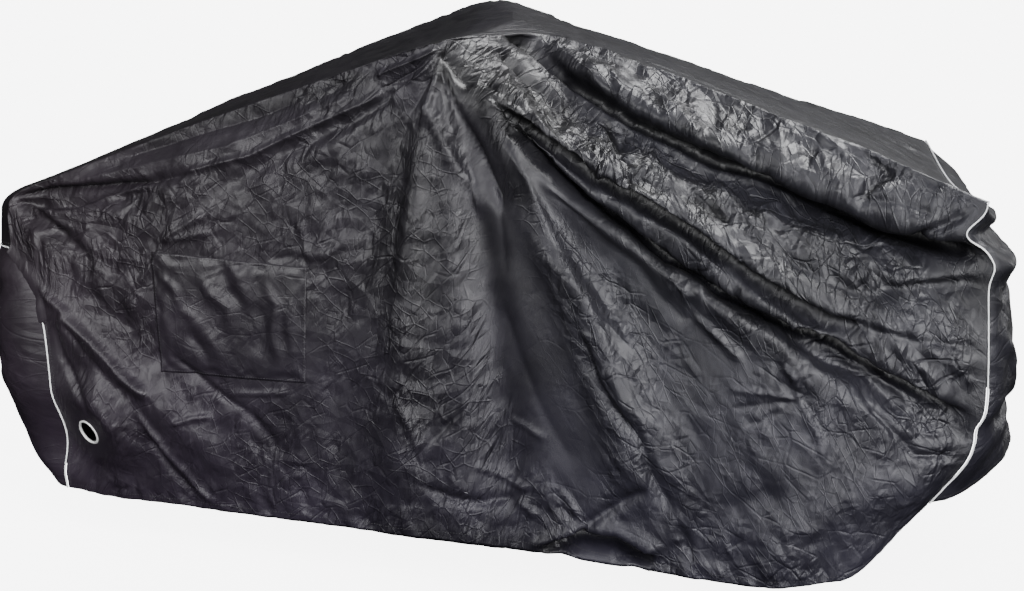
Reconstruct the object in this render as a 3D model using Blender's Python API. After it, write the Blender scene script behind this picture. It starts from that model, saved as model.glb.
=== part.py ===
"""Fitted cover of a three-wheel cargo bicycle, as it hangs over the bike.

Metres. X runs along the bike with the front at +X, -Y is the near side, Z is up.
The tables are in a ground frame (z = 0 is the floor). Every object is then moved so
that the origin is under the cloth at the middle of the handlebar.
"""

import math

import bmesh
import bpy
import numpy as np
from mathutils import Matrix, Vector

# Driving sizes
THICK = 0.002
HANDLEBAR = (-0.150, 0.0, 1.189)
PIPE_HALF_WIDTH = 0.0040
PIPE_HALF_DEPTH = 0.0026
SEAM_BODY = 0.0046
SEAM_REAR = 0.0042
SEAM_FRONT = 0.0050
STRIP_GAP = 0.0008
FOLD_GAP = 0.0008
PATCH_GAP = 0.0006
PATCH_THICK = 0.0012

# Roof, a row for each section from rear to front.
# name, strips to the next row, near edge x y z, middle x z, far edge x y z
ROOF = (
    ("rear_seam", 4, -1.285, -0.085, 0.668, -1.336, 0.662, -1.300, 0.085, 0.668),
    ("rear_top", 10, -1.300, -0.060, 0.786, -1.330, 0.778, -1.330, 0.062, 0.770),
    ("saddle", 11, -0.813, -0.195, 0.979, -0.818, 0.968, -0.835, 0.210, 0.978),
    ("grips", 5, -0.246, -0.369, 1.188, -0.154, 1.199, -0.238, 0.369, 1.213),
    ("fore", 7, -0.050, -0.045, 1.172, -0.048, 1.168, -0.050, 0.368, 1.152),
    ("box_rear", 7, 0.200, -0.162, 1.108, 0.200, 1.096, 0.195, 0.385, 1.074),
    ("box_mid", 6, 0.470, -0.282, 1.022, 0.460, 0.998, 0.440, 0.406, 0.990),
    ("box_fore", 4, 0.700, -0.374, 0.948, 0.680, 0.921, 0.632, 0.430, 0.929),
    ("front_seam", 0, 0.868, -0.442, 0.884, 0.822, 0.848, 0.787, 0.445, 0.876),
)

# Side walls, the same sections; the far side mirrors them.
# name, shoulder x y z, belly x y z, hem x y z
WALLS = (
    ("rear_seam", -1.198, -0.150, 0.560, -1.170, -0.178, 0.350, -1.159, -0.130, 0.119),
    ("rear_top", -1.130, -0.178, 0.630, -1.060, -0.205, 0.370, -1.050, -0.162, 0.112),
    ("saddle", -0.800, -0.262, 0.845, -0.790, -0.272, 0.450, -0.780, -0.240, 0.114),
    ("grips", -0.232, -0.392, 1.040, -0.215, -0.425, 0.520, -0.205, -0.425, 0.124),
    ("fore", -0.050, -0.392, 1.010, -0.045, -0.445, 0.500, -0.040, -0.448, 0.119),
    ("box_rear", 0.200, -0.430, 0.858, 0.200, -0.480, 0.450, 0.200, -0.478, 0.098),
    ("box_mid", 0.470, -0.468, 0.706, 0.470, -0.515, 0.370, 0.455, -0.510, 0.080),
    ("box_fore", 0.700, -0.478, 0.585, 0.680, -0.505, 0.330, 0.630, -0.495, 0.106),
    ("front_seam", 0.880, -0.476, 0.505, 0.856, -0.468, 0.380, 0.773, -0.450, 0.264),
)

# Rows of the grid between these lines: 0 near hem, 1 belly, 2 shoulder, 3 near edge,
# 4 roof middle, 5 far edge, 6 far shoulder, 7 far belly, 8 far hem.
NEAR_STEPS = (3.0, 2.83, 2.66, 2.49, 2.32, 2.16, 2.0, 1.8, 1.6, 1.46, 1.38, 1.30, 1.22, 1.11)
NEAR_STEPS += (1.0, 0.85, 0.71, 0.59, 0.50, 0.42, 0.35, 0.27, 0.18, 0.08)
ROOF_STEPS = 8
FAR_STEPS = (0.0, 0.18, 0.42, 0.71, 1.0, 1.30, 1.6, 2.0, 2.32, 2.66, 3.0)

# Folds that a row of the near wall follows: name, row, and the reach it may move in
FOLD_ROWS = (("furrow", 2.58, 2.42, 2.80), ("long_valley", 1.70, 1.30, 2.14))
FOLD_ROW_START = 0.30

# Main folds of the near wall in side view: depth is out (+) or in (-), the width goes
# from the first value at the start to the second at the end, and above is the share
# of the width on the upper side.
# name, depth, width at start and end, above, path of (x, z)
NEAR_FOLDS = (
    ("roof_lip", 0.020, 0.024, 0.035, 1.0,
     ((-0.10, 1.16), (0.08, 1.095), (0.28, 1.01), (0.54, 0.93), (0.78, 0.86), (0.87, 0.84))),
    ("furrow", -0.050, 0.030, 0.055, 0.45,
     ((-0.13, 1.165), (0.066, 1.056), (0.286, 0.955), (0.536, 0.877), (0.775, 0.803), (0.873, 0.786))),
    ("upper_crease", -0.014, 0.022, 0.024, 1.0,
     ((-0.09, 1.12), (-0.02, 1.06), (0.02, 1.02), (0.06, 0.985))),
    ("middle_ridge", 0.018, 0.026, 0.040, 1.0,
     ((-0.17, 1.10), (-0.036, 1.02), (0.20, 0.872), (0.50, 0.705), (0.76, 0.60), (0.875, 0.585))),
    ("long_valley", -0.036, 0.024, 0.034, 0.8,
     ((-0.15, 1.06), (0.006, 0.935), (0.174, 0.82), (0.463, 0.639), (0.708, 0.483), (0.865, 0.419))),
    ("valley_lip", 0.020, 0.026, 0.040, 0.8,
     ((-0.20, 1.12), (-0.10, 0.99), (0.026, 0.864), (0.204, 0.75), (0.50, 0.575), (0.66, 0.44))),
    ("side_valley", -0.020, 0.020, 0.060, 1.0,
     ((-0.19, 1.08), (-0.11, 0.92), (0.02, 0.79), (0.14, 0.66), (0.26, 0.50))),
    ("front_ridge", 0.036, 0.020, 0.070, 1.0,
     ((-0.19, 1.05), (-0.06, 0.87), (0.02, 0.72), (0.10, 0.56), (0.18, 0.38), (0.22, 0.22))),
    ("grip_valley", -0.036, 0.020, 0.070, 1.0,
     ((-0.22, 1.08), (-0.18, 0.90), (-0.14, 0.65), (-0.11, 0.40), (-0.10, 0.18))),
    ("grip_ridge", 0.026, 0.020, 0.060, 1.0,
     ((-0.25, 1.08), (-0.29, 0.90), (-0.31, 0.65), (-0.33, 0.40), (-0.34, 0.18))),
    ("back_valley", -0.016, 0.016, 0.060, 1.0,
     ((-0.27, 1.10), (-0.36, 0.92), (-0.43, 0.70), (-0.47, 0.45), (-0.50, 0.20))),
    ("saddle_tuck", -0.014, 0.014, 0.030, 0.8,
     ((-0.26, 1.13), (-0.42, 1.02), (-0.60, 0.93), (-0.78, 0.83))),
    ("wheel_ridge", 0.034, 0.030, 0.055, 0.9,
     ((-1.21, 0.60), (-1.12, 0.51), (-1.03, 0.43), (-0.92, 0.36), (-0.80, 0.27), (-0.70, 0.18))),
    ("wheel_valley", -0.018, 0.030, 0.050, 1.0,
     ((-1.20, 0.68), (-1.08, 0.60), (-0.98, 0.53), (-0.86, 0.44), (-0.70, 0.36))),
    ("rear_crease", -0.016, 0.012, 0.035, 0.7,
     ((-1.28, 0.77), (-1.16, 0.80), (-1.00, 0.82), (-0.90, 0.82))),
    ("rear_crease_low", -0.014, 0.012, 0.030, 0.8,
     ((-1.28, 0.765), (-1.20, 0.74), (-1.10, 0.69), (-1.04, 0.65))),
    ("box_crease", -0.016, 0.016, 0.026, 0.8,
     ((0.42, 0.78), (0.60, 0.70), (0.72, 0.70), (0.88, 0.72))),
    ("hem_tuck", -0.040, 0.020, 0.024, 0.9,
     ((-0.02, 0.115), (0.06, 0.150), (0.13, 0.150), (0.21, 0.110))),
    ("toe_crease", -0.022, 0.030, 0.030, 1.0,
     ((0.20, 0.08), (0.27, 0.16), (0.36, 0.24), (0.50, 0.30))),
    ("toe_ridge", 0.018, 0.040, 0.060, 1.0,
     ((0.40, 0.10), (0.52, 0.22), (0.66, 0.30), (0.80, 0.34))),
)

# The far wall hangs plainly: soft upright folds at these x.
# x at the roof, x at the hem, depth, width
FAR_FOLDS = (
    (-0.98, -0.92, -0.014, 0.05),
    (-0.50, -0.55, -0.020, 0.06),
    (-0.24, -0.22, 0.024, 0.06),
    (-0.05, 0.02, -0.026, 0.06),
    (0.30, 0.36, -0.022, 0.07),
    (0.62, 0.60, 0.016, 0.06),
)

# Shallow creases of the roof in plan: depth, width, path of (x, y)
ROOF_FOLDS = (
    (-0.012, 0.030, ((-0.02, 0.00), (0.30, -0.06), (0.60, -0.20), (0.80, -0.32))),
    (-0.008, 0.020, ((0.55, 0.30), (0.70, 0.26), (0.80, 0.22))),
    (-0.014, 0.050, ((-1.20, 0.00), (-0.80, 0.02), (-0.40, 0.05))),
)

# The front seam is pulled back where the furrow meets it: z, pull, height of the pull
SEAM_PULL = ((0.826, 0.042, 0.028), (0.755, -0.012, 0.024), (0.425, 0.008, 0.020))

# End panels: how far each bulges past its seam, from its hem (0) to its top (1)
REAR_BULGE = ((0.0, 0.052), (0.15, 0.112), (0.30, 0.138), (0.60, 0.140), (0.88, 0.080), (1.0, 0.0))
FRONT_BULGE = ((0.0, 0.190), (0.12, 0.120), (0.25, 0.085), (0.60, 0.080), (0.92, 0.070), (1.0, 0.0))
REAR_HEM_RISE = 0.010
FRONT_HEM_RISE = 0.066

# Lock eyelet: a metal ring through a hole in the strip beside the rear seam
EYELET = (-1.082, -0.196, 0.272)
EYELET_FACES = (-0.50, -0.72, -0.34)
EYELET_FLAT = 0.072
EYELET_BLEND = 0.150
EYELET_OUTER = 0.034
EYELET_HOLE = 0.0275
EYELET_WALL = 0.0015
EYELET_LIP = 0.0016
STRIP_COLUMNS = 7
STRIP_ROWS = 8

# Sewn patch: corners in side view, in order round it
PATCH = ((-0.909, 0.700), (-0.541, 0.694), (-0.548, 0.440), (-0.895, 0.430))


def smooth(knots, values, at):
    """Curve through the values at the knots that never overshoots them."""
    knots = np.asarray(knots, float)
    values = np.asarray(values, float)
    at = np.clip(np.asarray(at, float), knots[0], knots[-1])
    step = np.diff(knots).reshape((-1,) + (1,) * (values.ndim - 1))
    rise = np.diff(values, axis=0) / step
    slope = np.zeros_like(values)
    same = rise[:-1] * rise[1:] > 0
    mean = 2 * rise[:-1] * rise[1:] / np.where(same, rise[:-1] + rise[1:], 1.0)
    slope[1:-1] = np.where(same, mean, 0.0)
    slope[0] = rise[0]
    slope[-1] = rise[-1]
    cell = np.clip(np.searchsorted(knots, at, side="right") - 1, 0, len(knots) - 2)
    width = step[cell]
    t = ((at - knots[cell]).reshape(width.shape)) / width
    a = (1 + 2 * t) * (1 - t) ** 2
    b = t * (1 - t) ** 2
    c = t * t * (3 - 2 * t)
    d = t * t * (t - 1)
    out = a * values[cell] + b * width * slope[cell]
    return out + c * values[cell + 1] + d * width * slope[cell + 1]


def taut(knots, values, at, reach=1.0):
    """Straight from knot to knot, as taut cloth lies, with the corners eased."""
    knots = np.asarray(knots, float)
    at = np.asarray(at, float)
    reach = np.minimum(reach, np.minimum(at - knots[0], knots[-1] - at))
    out = 0.0
    for share in (-1.0, -0.5, 0.0, 0.5, 1.0):
        place = at + share * reach
        cell = np.clip(np.searchsorted(knots, place, side="right") - 1, 0, len(knots) - 2)
        t = (place - knots[cell]) / (knots[cell + 1] - knots[cell])
        t = t.reshape(t.shape + (1,) * (values.ndim - 1))
        out = out + (values[cell] * (1 - t) + values[cell + 1] * t) / 5
    return out


def section_lines():
    """The nine lines from near hem to far hem at each section, and the section places."""
    lines = []
    place = [0]
    for roof, wall in zip(ROOF, WALLS):
        near_edge = roof[2:5]
        middle = (roof[5], 0.0, roof[6])
        far_edge = roof[7:10]
        shoulder, belly, hem = wall[1:4], wall[4:7], wall[7:10]
        lean = far_edge[0] - near_edge[0]
        mirror = []
        for share, (x, y, z) in ((0.7, shoulder), (0.3, belly), (0.1, hem)):
            mirror.append((x + share * lean, -y, z))
        lines.append([hem, belly, shoulder, near_edge, middle, far_edge] + mirror)
        place.append(place[-1] + roof[1])
    return np.array(lines), np.array(place[:-1], float)


def fold_path(name):
    return np.array(next(row[5] for row in NEAR_FOLDS if row[0] == name))


def loft(columns, around):
    """Points of the smooth cover at each (around, column).

    The rows at FOLD_ROWS run along their folds, so that coarse rows still hold them.
    """
    lines, place = section_lines()
    at_columns = taut(place, lines, columns)
    around = np.asarray(around, float)
    near = around[around <= 3]
    roof = around[(around > 3) & (around <= 5)]
    far = around[around > 5]
    wall_knots = (0, 1, 2, 3)
    sides = []
    for block in at_columns:
        warp_from = [0.0, 3.0]
        warp_to = [0.0, 3.0]
        for name, row, low, high in FOLD_ROWS:
            path = fold_path(name)
            search = np.linspace(low, high, 24)
            x, _, z = smooth(wall_knots, block[0:4], search).T
            above = z - np.interp(x, path[:, 0], path[:, 1])
            meets = np.interp(0.0, above, search)
            share = ease((x.mean() - path[0, 0] + FOLD_ROW_START) / FOLD_ROW_START)
            warp_from.insert(1, row)
            warp_to.insert(1, row + (meets - row) * share)
        walk = np.interp(near, warp_from, warp_to)
        column = [smooth(wall_knots, block[0:4], walk)]
        column.append(smooth((3, 4, 5), block[3:6], roof))
        column.append(smooth((5, 6, 7, 8), block[5:9], far))
        sides.append(np.concatenate(column))
    return np.array(sides).swapaxes(0, 1)


def normals_of(grid):
    along = np.gradient(grid, axis=1)
    across = np.gradient(grid, axis=0)
    normal = np.cross(along, across)
    return normal / np.maximum(np.linalg.norm(normal, axis=2, keepdims=True), 1e-12)


def ease(t):
    t = np.clip(t, 0.0, 1.0)
    return t * t * (3 - 2 * t)


def distance_to(path, first, second):
    """Signed distance of points to a path, left of it positive, and the share along it."""
    path = np.array(path, float)
    lengths = np.linalg.norm(np.diff(path, axis=0), axis=1)
    best = np.full(first.shape, 1e9)
    side = np.zeros(first.shape)
    along = np.zeros(first.shape)
    run = 0.0
    for start, end, length in zip(path[:-1], path[1:], lengths):
        way = (end - start) / length
        dx = first - start[0]
        dy = second - start[1]
        t = np.clip(dx * way[0] + dy * way[1], 0, length)
        away = np.hypot(dx - t * way[0], dy - t * way[1])
        nearer = away < best
        turn = np.sign(way[0] * dy - way[1] * dx)
        best = np.where(nearer, away, best)
        side = np.where(nearer, turn, side)
        along = np.where(nearer, run + t, along)
        run += length
    return best * side, along / run


def fold_shape(path, depth, start, end, above, first, second, fade=0.20):
    """Height of one soft trough (depth < 0) or ridge (depth > 0) at the points."""
    away, along = distance_to(path, first, second)
    width = start + (end - start) * along
    width = np.where(away > 0, width * above, width)
    height = depth * ease(along / fade) * ease((1.04 - along) / fade)
    return height * np.exp(-((away / width) ** 2))


def relief(points, around):
    """How far the folds move each point along the normal."""
    x, y, z = points[..., 0], points[..., 1], points[..., 2]
    a = np.broadcast_to(np.asarray(around, float)[:, None], x.shape)
    near = np.zeros(x.shape)
    for _, depth, start, end, above, path in NEAR_FOLDS:
        near += fold_shape(path, depth, start, end, above, x, z)
    far = np.zeros(x.shape)
    for top, low, depth, width in FAR_FOLDS:
        line = ((top, 1.15), (low, 0.05))
        far += fold_shape(line, depth, 0.6 * width, width, 1.0, x, z, fade=0.3)
    roof = np.zeros(x.shape)
    for depth, width, path in ROOF_FOLDS:
        roof += fold_shape(path, depth, 0.5 * width, width, 1.0, x, y, fade=0.3)
    on_near = ease((3.15 - a) / 0.3)
    on_far = ease((a - 5.0) / 0.8)
    on_roof = ease((a - 3.0) / 0.6) * ease((5.0 - a) / 0.6)
    return near * on_near + far * on_far + roof * on_roof


def cover_grid(columns, around):
    """Outer face of the hung cover between its two piped seams."""
    grid = loft(columns, around)
    grid = grid + normals_of(grid) * relief(grid, around)[..., None]
    last = ROOF_COLUMNS
    to_seam = ease(1 - (last - np.asarray(columns, float)) / 5.0)
    near = (np.asarray(around, float) < 3.2)[:, None]
    for height, pull, reach in SEAM_PULL:
        share = np.exp(-(((grid[..., 2] - height) / reach) ** 2))
        grid[..., 0] -= near * pull * share * to_seam[None, :]
    centre = np.array(EYELET)
    facing = np.array(EYELET_FACES) / np.linalg.norm(EYELET_FACES)
    offset = grid - centre
    height = offset @ facing
    away = np.linalg.norm(offset - height[..., None] * facing, axis=2)
    flat = ease((EYELET_BLEND - away) / (EYELET_BLEND - EYELET_FLAT))
    flat = flat * (np.asarray(around, float) < 2.6)[:, None]
    return grid - (flat * height)[..., None] * facing


def end_panel(seam, bulge, hem_rise, outward):
    """Panel inside a seam: rows from hem to top, columns from the near to the far side.

    seam holds the near side (hem to top), the top edge and the far side (top to hem).
    """
    near, top, far = seam
    rows = len(near)
    columns = len(top)
    p = np.linspace(0, 1, columns)[None, :, None]
    q = np.linspace(0, 1, rows)[:, None, None]
    low = near[0] + (far[0] - near[0]) * p
    low = low + np.array([0, 0, hem_rise]) * (1 - np.abs(2 * p - 1) ** 5)
    upright = near[:, None] * (1 - p) + far[:, None] * p
    level = low * (1 - q) + top[None] * q
    corner = (near[0] * (1 - p) + far[0] * p) * (1 - q)
    corner = corner + (near[-1] * (1 - p) + far[-1] * p) * q
    grid = upright + level - corner
    share, size = np.array(bulge).T
    height = (upright[:, :1, 2:] - near[0, 2]) / (near[-1, 2] - near[0, 2])
    size = smooth(share, size, height.ravel()).reshape(rows, 1, 1)
    grid[..., 0:1] += outward * size * (1 - np.abs(2 * p - 1) ** 3.5) ** 0.6
    return grid


def triangles(rows, columns, points, keep=None):
    """Two triangles for each grid cell, split along its shorter diagonal."""
    faces = []
    for row in range(rows - 1):
        for column in range(columns - 1):
            if keep is not None and not keep(row, column):
                continue
            a = row * columns + column
            b, c, d = a + 1, a + columns + 1, a + columns
            if (points[a] - points[c]).length <= (points[b] - points[d]).length:
                faces += [(a, b, c), (a, c, d)]
            else:
                faces += [(a, b, d), (b, c, d)]
    return faces


def colour(name, rgb, roughness, metallic=0.0):
    material = bpy.data.materials.new(name)
    material.use_nodes = True
    shader = material.node_tree.nodes["Principled BSDF"]
    shader.inputs["Base Color"].default_value = (*rgb, 1.0)
    shader.inputs["Roughness"].default_value = roughness
    shader.inputs["Metallic"].default_value = metallic
    material.diffuse_color = (*rgb, 1.0)
    return material


def add_object(name, points, faces, material):
    mesh = bpy.data.meshes.new(name)
    origin = Vector(HANDLEBAR)
    mesh.from_pydata([Vector(point) - origin for point in points], [], faces)
    mesh.materials.append(material)
    obj = bpy.data.objects.new(name, mesh)
    bpy.context.scene.collection.objects.link(obj)
    return obj


def add_sheet(name, outer, normals, material, keep=None, thick=THICK):
    """Cloth of even thickness: outer face on the grid, inner face behind it, rims between."""
    rows, columns = outer.shape[:2]
    points = [Vector(point) for point in outer.reshape(-1, 3)]
    under = [Vector(point) for point in (outer - normals * thick).reshape(-1, 3)]
    front = triangles(rows, columns, points, keep)
    if normals[rows // 2, columns // 2].dot(normals_of(outer)[rows // 2, columns // 2]) < 0:
        front = [face[::-1] for face in front]
    count = len(points)
    faces = front + [tuple(corner + count for corner in face[::-1]) for face in front]
    edges = {(face[k], face[(k + 1) % 3]) for face in front for k in range(3)}
    for a, b in sorted(edges):
        if (b, a) not in edges:
            faces += [(b, a, a + count), (b, a + count, b + count)]
    obj = add_object(name, points + under, faces, material)
    scrap = bmesh.new()
    scrap.from_mesh(obj.data)
    loose = [vert for vert in scrap.verts if not vert.link_faces]
    bmesh.ops.delete(scrap, geom=loose, context="VERTS")
    scrap.to_mesh(obj.data)
    scrap.free()
    return obj


def unit(vectors):
    return vectors / np.linalg.norm(vectors, axis=-1, keepdims=True)


def inward(edge, inner):
    """Unit steps from an edge towards the next line of points, square to the edge."""
    along = unit(np.gradient(edge, axis=0))
    way = inner - edge
    return unit(way - along * np.sum(way * along, axis=1, keepdims=True))


def add_piping(name, seam, body_side, panel_side, material):
    """Piped seam: a flattened cord between the edges of two panels."""
    seam = np.asarray(seam)
    across = unit(body_side - panel_side)
    normal = np.cross(unit(np.gradient(seam, axis=0)), across)
    points = []
    sides = 8
    for centre, wide, deep in zip(seam, across, normal):
        for side in range(sides):
            angle = 2 * math.pi * (side + 0.5) / sides
            offset = wide * PIPE_HALF_WIDTH * math.cos(angle)
            offset = offset + deep * PIPE_HALF_DEPTH * math.sin(angle)
            points.append(Vector(centre + offset))
    faces = [tuple(range(sides))[::-1]]
    for ring in range(len(seam) - 1):
        for side in range(sides):
            a = ring * sides + side
            b = ring * sides + (side + 1) % sides
            faces.append((a, b, b + sides, a + sides))
    start = (len(seam) - 1) * sides
    faces.append(tuple(start + side for side in range(sides)))
    obj = add_object(name, points, faces, material)
    scrap = bmesh.new()
    scrap.from_mesh(obj.data)
    bmesh.ops.recalc_face_normals(scrap, faces=scrap.faces)
    bmesh.ops.triangulate(scrap, faces=scrap.faces)
    scrap.to_mesh(obj.data)
    scrap.free()
    return obj


def cut(obj, cutter, operation):
    cutter.hide_render = True
    cutter.display_type = "WIRE"
    boolean = obj.modifiers.new(cutter.name, "BOOLEAN")
    boolean.operation = operation
    boolean.solver = "EXACT"
    boolean.object = cutter


def add_prism(name, corners, y_low, y_high, material):
    """Closed prism over a polygon in side view."""
    points = [Vector((x, y_low, z)) for x, z in corners]
    points += [Vector((x, y_high, z)) for x, z in corners]
    count = len(corners)
    faces = [tuple(range(count)), tuple(range(2 * count - 1, count - 1, -1))]
    for side in range(count):
        after = (side + 1) % count
        faces.append((side, side + count, after + count, after))
    obj = add_object(name, points, faces, material)
    scrap = bmesh.new()
    scrap.from_mesh(obj.data)
    bmesh.ops.recalc_face_normals(scrap, faces=scrap.faces)
    scrap.to_mesh(obj.data)
    scrap.free()
    return obj


def facing_matrix(centre, facing):
    """Places a shape made about +Z so that +Z points along facing."""
    turn = Vector(facing).to_track_quat("Z", "Y").to_matrix().to_4x4()
    return Matrix.Translation(Vector(centre) - Vector(HANDLEBAR)) @ turn


def add_eyelet(name, material):
    """Ring whose two lips clamp the edge of the hole in the strip."""
    half = THICK / 2 + 0.0003
    bore = EYELET_HOLE - 0.0003
    inner = bore - EYELET_WALL
    lip = half + EYELET_LIP
    profile = (
        (inner, lip - 0.0006),
        (inner + 0.0008, lip),
        (EYELET_OUTER - 0.001, lip),
        (EYELET_OUTER, half + 0.0004),
        (EYELET_OUTER, half),
        (bore, half),
        (bore, -half),
        (EYELET_OUTER - 0.002, -half),
        (EYELET_OUTER - 0.002, -lip),
        (inner, -lip),
    )
    steps = 32
    points = []
    for step in range(steps):
        angle = 2 * math.pi * step / steps
        for radius, height in profile:
            points.append((radius * math.cos(angle), radius * math.sin(angle), height))
    count = len(profile)
    faces = []
    for step in range(steps):
        after = (step + 1) % steps
        for side in range(count):
            end = (side + 1) % count
            ring, other = step * count, after * count
            faces.append((ring + side, other + side, other + end, ring + end))
    mesh = bpy.data.meshes.new(name)
    mesh.from_pydata(points, [], faces)
    mesh.materials.append(material)
    scrap = bmesh.new()
    scrap.from_mesh(mesh)
    bmesh.ops.recalc_face_normals(scrap, faces=scrap.faces)
    scrap.to_mesh(mesh)
    scrap.free()
    obj = bpy.data.objects.new(name, mesh)
    bpy.context.scene.collection.objects.link(obj)
    facing = Vector(EYELET_FACES).normalized()
    centre = Vector(EYELET) - facing * (THICK / 2)
    obj.matrix_world = facing_matrix(centre, facing)
    return obj


def add_drill(name, material):
    mesh = bpy.data.meshes.new(name)
    scrap = bmesh.new()
    bmesh.ops.create_cone(
        scrap,
        cap_ends=True,
        segments=32,
        radius1=EYELET_HOLE,
        radius2=EYELET_HOLE,
        depth=0.05,
    )
    scrap.to_mesh(mesh)
    scrap.free()
    mesh.materials.append(material)
    obj = bpy.data.objects.new(name, mesh)
    bpy.context.scene.collection.objects.link(obj)
    obj.matrix_world = facing_matrix(EYELET, EYELET_FACES)
    return obj


ROOF_COLUMNS = sum(row[1] for row in ROOF)


def main():
    for obj in list(bpy.data.objects):
        bpy.data.objects.remove(obj, do_unlink=True)

    cloth = colour("cover_cloth", (0.035, 0.034, 0.038), 0.42)
    patch_cloth = colour("patch_cloth", (0.045, 0.044, 0.048), 0.45)
    reflective = colour("reflective_piping", (0.72, 0.73, 0.74), 0.35)
    metal = colour("eyelet_metal", (0.75, 0.75, 0.74), 0.3, 1.0)

    columns = np.arange(ROOF_COLUMNS + 1)
    around = [3 - step for step in NEAR_STEPS]
    around += list(3 + np.arange(ROOF_STEPS) * 2 / ROOF_STEPS)
    around += [5 + step for step in FAR_STEPS]
    near_top = len(NEAR_STEPS)
    far_top = near_top + ROOF_STEPS
    grid = cover_grid(columns, around)

    # End panels share the seams' points; the far side has fewer, so it is filled in.
    panels = {}
    for name, column, bulge, rise, outward in (
        ("rear_panel", 0, REAR_BULGE, REAR_HEM_RISE, -1),
        ("front_panel", -1, FRONT_BULGE, FRONT_HEM_RISE, 1),
    ):
        seam = grid[:, column]
        near = seam[: near_top + 1]
        top = seam[near_top : far_top + 1]
        steps = np.array((*NEAR_STEPS, 0.0))
        far = np.array([np.interp(steps, FAR_STEPS, seam[far_top:, k]) for k in range(3)]).T
        panels[name] = end_panel((near, top, far), bulge, rise, outward)

    for name, pipe, column, beside, stand in (
        ("rear_panel", "rear_piping", 0, 1, SEAM_REAR),
        ("front_panel", "front_piping", -1, -2, SEAM_FRONT),
    ):
        panel = panels[name]
        seam = grid[:, column].copy()
        to_body = inward(seam, grid[:, beside])
        # Steps into the end panel, taken round its near side, top and far side.
        edge = np.concatenate([panel[:-1, 0], panel[-1], panel[-2::-1, -1]])
        deeper = np.concatenate([panel[:-1, 1], panel[-2], panel[-2::-1, -2]])
        deeper[near_top], deeper[-near_top - 1] = panel[-2, 1], panel[-2, -2]
        to_panel = inward(edge, deeper)
        steps = np.array((*NEAR_STEPS, 0.0))
        kept = [int(np.argmin(np.abs(steps - step))) for step in FAR_STEPS]
        matched = list(range(far_top)) + [len(edge) - 1 - row for row in kept]
        add_piping(pipe, seam, to_body, to_panel[matched], reflective)
        to_panel[[near_top, far_top]] *= 1.7
        grid[:, column] = seam + to_body * SEAM_BODY
        edge = edge + to_panel * stand
        panel[:-1, 0] = edge[:near_top]
        panel[-1] = edge[near_top : far_top + 1]
        panel[:-1, -1] = edge[:far_top:-1]

    def in_strip(row, column):
        return row < STRIP_ROWS and column < STRIP_COLUMNS

    def off_strip(row, column):
        return not in_strip(row, column)

    # The strip's free edges stand back from the main panel by the strip gap.
    normals = normals_of(grid)
    strip = grid[: STRIP_ROWS + 1, : STRIP_COLUMNS + 1].copy()
    inner = strip.copy()
    strip[:, -1] += inward(inner[:, -1], inner[:, -2]) * STRIP_GAP
    strip[-1] += inward(inner[-1], inner[-2]) * STRIP_GAP

    # The main panel is one cloth. It is parted along its two top folds into simpler solids.
    add_sheet("near_side", grid[: near_top + 1], normals[: near_top + 1], cloth, keep=off_strip)
    add_sheet("far_side", grid[far_top:], normals[far_top:], cloth)
    roof = grid[near_top : far_top + 1].copy()
    roof[0] += inward(roof[0], roof[1]) * FOLD_GAP
    roof[-1] += inward(roof[-1], roof[-2]) * FOLD_GAP
    add_sheet("roof", roof, normals[near_top : far_top + 1], cloth)
    on_strip = normals[: STRIP_ROWS + 1, : STRIP_COLUMNS + 1]
    strip_obj = add_sheet("lock_strip", strip, on_strip, cloth)
    cut(strip_obj, add_drill("eyelet_drill", cloth), "DIFFERENCE")
    for name, turn in (("rear_panel", -1), ("front_panel", 1)):
        add_sheet(name, panels[name], turn * normals_of(panels[name]), cloth)
    add_eyelet("lock_eyelet", metal)

    # The patch lies on the main panel's own facets, a seam's thickness outside them.
    xs = [x for x, _ in PATCH]
    zs = [z for _, z in PATCH]
    side = grid[:near_top]
    wide = [c for c in columns if min(xs) - 0.08 < side[near_top // 2, c, 0] < max(xs) + 0.08]
    high = [r for r in range(near_top) if min(zs) - 0.12 < side[r, wide].mean(axis=0)[2] < max(zs) + 0.12]
    block = (slice(high[0], high[-1] + 1), slice(wide[0], wide[-1] + 1))
    area = grid[block] + normals[block] * (PATCH_GAP + PATCH_THICK)
    patch = add_sheet("side_patch", area, normals[block], patch_cloth, thick=PATCH_THICK)
    cut(patch, add_prism("patch_outline", PATCH, -0.60, -0.05, patch_cloth), "INTERSECT")


main()
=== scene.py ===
"""Visual model of a fitted cover for a three-wheel cargo bicycle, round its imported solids.

X runs along the bike with the front at +X, -Y is the near side, Z is up. The tables are in
a ground frame (z = 0 is the floor), and HANDLEBAR is the frame's origin in it. Lengths are
in metres, apart from the tables that say millimetres.
"""

import math

import bmesh
import bpy
import numpy as np
from mathutils import Matrix, Vector
from mathutils.bvhtree import BVHTree

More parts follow.
